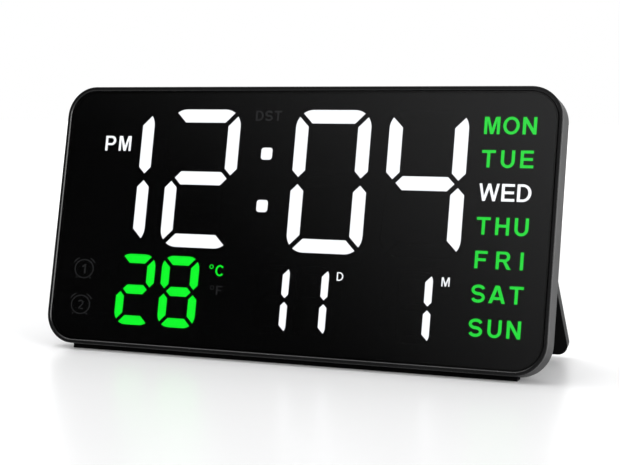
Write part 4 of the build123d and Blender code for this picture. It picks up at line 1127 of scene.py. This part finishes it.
def rounded_bar(length, width, height):
    """Bar along X with a rounded top, standing on Z = 0."""
    profile = arc(0, 0, width / 2, height, 0, 180, RIDGE_STEPS)
    work = bmesh.new()
    ends = []
    for x in (-length / 2, length / 2):
        ends.append([work.verts.new((x, y, z)) for y, z in profile])
    first, last = ends
    for i in range(len(profile)):
        j = (i + 1) % len(profile)
        work.faces.new((first[i], first[j], last[j], last[i]))
    work.faces.new(first)
    work.faces.new(last)
    bmesh.ops.recalc_face_normals(work, faces=work.faces)
    mesh = bpy.data.meshes.new("bar")
    work.to_mesh(mesh)
    work.free()
    return mesh


one_ridge = rounded_bar(**DOOR_RIDGE)
print("one ridge has", len(one_ridge.polygons), "faces")

# %% Run the tree on a bar
def socket_id(tree, label):
    """Identifier of a tree's input by its name."""
    return next(
        item.identifier for item in tree.interface.items_tree
        if item.item_type == "SOCKET" and item.in_out == "INPUT" and item.name == label
    )


def repeat_bar(name, tree, bar, count, radius, finish):
    """Run the ridge tree on a bar and give back the result as a plain mesh."""
    holder = bpy.data.objects.new(name, bar)
    bpy.context.scene.collection.objects.link(holder)
    modifier = holder.modifiers.new("ridges", "NODES")
    modifier.node_group = tree
    modifier[socket_id(tree, "Count")] = count
    modifier[socket_id(tree, "Radius")] = radius
    modifier[socket_id(tree, "Finish")] = finish
    graph = bpy.context.evaluated_depsgraph_get()
    mesh = bpy.data.meshes.new_from_object(holder.evaluated_get(graph))
    bpy.data.objects.remove(holder)
    return mesh


print("the modifier knows the input Count as", socket_id(ridge_ring, "Count"))

# %% Grip the door
DOOR_RIDGES = 24
DOOR_RIDGE_RADIUS = 7.5 * MM

door_low, door_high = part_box("battery_door")
door_b = sum(reach("battery_door", face_up)) / 2 - case_bottom
door_place = back_matrix((door_low.x + door_high.x) / 2, door_b, pod_depth)
door_ridges = repeat_bar("door_ridges", ridge_ring, one_ridge, DOOR_RIDGES, DOOR_RIDGE_RADIUS, back_texture)
finish_piece("door_ridges", door_ridges, door_place, back_texture, "battery_door")
print(DOOR_RIDGES, "ridges with", len(door_ridges.polygons), "faces")

# %% [markdown]
# ## Floor
# The clock stands on a pale glossy table in front of a white background. The table mirrors the dark case
# softly at a low angle, which is the grey in front of it. A shadow there would be too deep with plain light
# alone, so in front of the clock the table also glows a little: a painted glow that lifts the clock's
# shadow there, over a darker table colour so that the open table keeps its level. Far from the clock it
# glows fully and runs into the background without a horizon. A curved backdrop could hide the horizon too,
# but it would stand in the way of a view from behind. Both glows are soft masks on Object coordinates, one
# on the distance ahead and one on the distance from the middle.

# %% Make the table's finish
SWEEP = (0.45, 0.90)
AHEAD = (0.0, -1.0, 0.0)
FRONT = (0.025, 0.060)
# The glow in front of the clock is painted light that lifts its shadow; the colour under it is darker so
# the open table keeps its level.
SHADOW_LIFT_GLOW = 0.38
SHADOW_LIFT_PALE = (0.44, 0.44, 0.443)
BACK_PALE = (0.76, 0.76, 0.765)


def make_floor_finish():
    """Pale satin table top with a painted glow in front of the clock that lifts its shadow, fading into
    white far from it.
    """
    material, tree, shader = new_material("table_top")
    grain = use_group(tree, grain_group, Scale=400.0, Roughness_low=0.28, Roughness_high=0.34)
    tree.links.new(grain.outputs["Roughness"], shader.inputs["Roughness"])
    place = object_coordinates(tree)
    ahead = vector_math(tree, "DOT_PRODUCT", place, AHEAD)
    # Mask of the painted glow that lifts the clock's shadow on the table in front of it.
    front = step_mask(tree, ahead.outputs["Value"], FRONT)
    distance = vector_math(tree, "LENGTH", place)
    sweep = step_mask(tree, distance.outputs["Value"], SWEEP)
    glow = spread(tree, sweep, spread(tree, front, 0.0, SHADOW_LIFT_GLOW), 1.0)
    tree.links.new(glow, shader.inputs["Emission Color"])
    shader.inputs["Emission Strength"].default_value = 1.0
    pale = blend_colours(tree, front, BACK_PALE, SHADOW_LIFT_PALE)
    tree.links.new(blend_colours(tree, sweep, pale, (0.0, 0.0, 0.0)), shader.inputs["Base Color"])
    return material


table_top = make_floor_finish()
print(table_top.name, "turns to pure glow from", SWEEP[0], "to", SWEEP[1], "m")

# %% Lay the floor
FLOOR_SIZE = 12.0

floor_mesh = bpy.data.meshes.new("floor")
half = FLOOR_SIZE / 2
floor_mesh.from_pydata(
    [(-half, -half, 0), (half, -half, 0), (half, half, 0), (-half, half, 0)], [], [(0, 1, 2, 3)]
)
floor_mesh.materials.append(table_top)
floor = bpy.data.objects.new("floor", floor_mesh)
bpy.context.scene.collection.objects.link(floor)
print("floor of", FLOOR_SIZE, "m laid")

# %% [markdown]
# ## Light
# The light is a white room: bright behind, above and to the right, and dark in front on the left, because
# the polished panel mirrors that side and has to stay black there. The world's colour is therefore a level
# that rises with the direction, and a Light Path node lets the camera itself see plain white on every
# side. Real walls could do the same, but each view from another side would then show one. Two soft boxes
# add the shade under the case and the gloss on its right wall.

# %% Light the room
ROOM_DARK = 0.02
SIDE_BRIGHT = 0.60
SIDE_DIRECTION = Vector((0.760, 0.501, 0.413)).normalized()
SIDE_RANGE = (-0.651, -0.344)
WALL_BRIGHT = 1.0
WALL_DIRECTION = Vector((0.0, 1.0, 0.0))
WALL_RANGE = (-0.10, 0.15)


def brightening(tree, direction, towards, span, bright):
    """Level that rises smoothly where the view turns towards a direction."""
    facing = vector_math(tree, "DOT_PRODUCT", direction, towards)
    return spread(tree, step_mask(tree, facing.outputs["Value"], span), ROOM_DARK, bright)


def make_room():
    """World with a white wall behind the clock and a bright right side, plain white to the camera."""
    world = bpy.data.worlds.new("room")
    world.use_nodes = True
    tree = world.node_tree
    direction = tree.nodes.new("ShaderNodeTexCoord").outputs["Generated"]
    side = brightening(tree, direction, SIDE_DIRECTION, SIDE_RANGE, SIDE_BRIGHT)
    wall = brightening(tree, direction, WALL_DIRECTION, WALL_RANGE, WALL_BRIGHT)
    camera_ray = tree.nodes.new("ShaderNodeLightPath").outputs["Is Camera Ray"]
    level = combine(tree, "MAXIMUM", combine(tree, "MAXIMUM", side, wall), camera_ray)
    background = tree.nodes["Background"]
    background.inputs["Color"].default_value = (1.0, 1.0, 1.0, 1.0)
    tree.links.new(level, background.inputs["Strength"])
    return world


bpy.context.scene.world = make_room()
print("room levels from", ROOM_DARK, "to", WALL_BRIGHT)

# %% Hang the soft boxes
TOP_BOX = {"place": (-0.4, 0.35, 1.5), "target": (0.0, 0.1, 0.0), "size": (1.8, 1.2), "power": 20.0}
RIGHT_BOX = {"place": (1.3, -0.8, 0.5), "target": (0.0, 0.0, 0.06), "size": (0.8, 0.8), "power": 22.0}


def area_light(name, place, target, size, power):
    """Soft rectangular light that looks at a target."""
    data = bpy.data.lights.new(name, "AREA")
    data.shape = "RECTANGLE"
    data.size, data.size_y = size
    data.energy = power
    light = bpy.data.objects.new(name, data)
    light.location = place
    light.rotation_euler = (Vector(target) - Vector(place)).to_track_quat("-Z", "Y").to_euler()
    bpy.context.scene.collection.objects.link(light)
    print(name, "gives", power, "W")


area_light("top_box", **TOP_BOX)
area_light("right_box", **RIGHT_BOX)
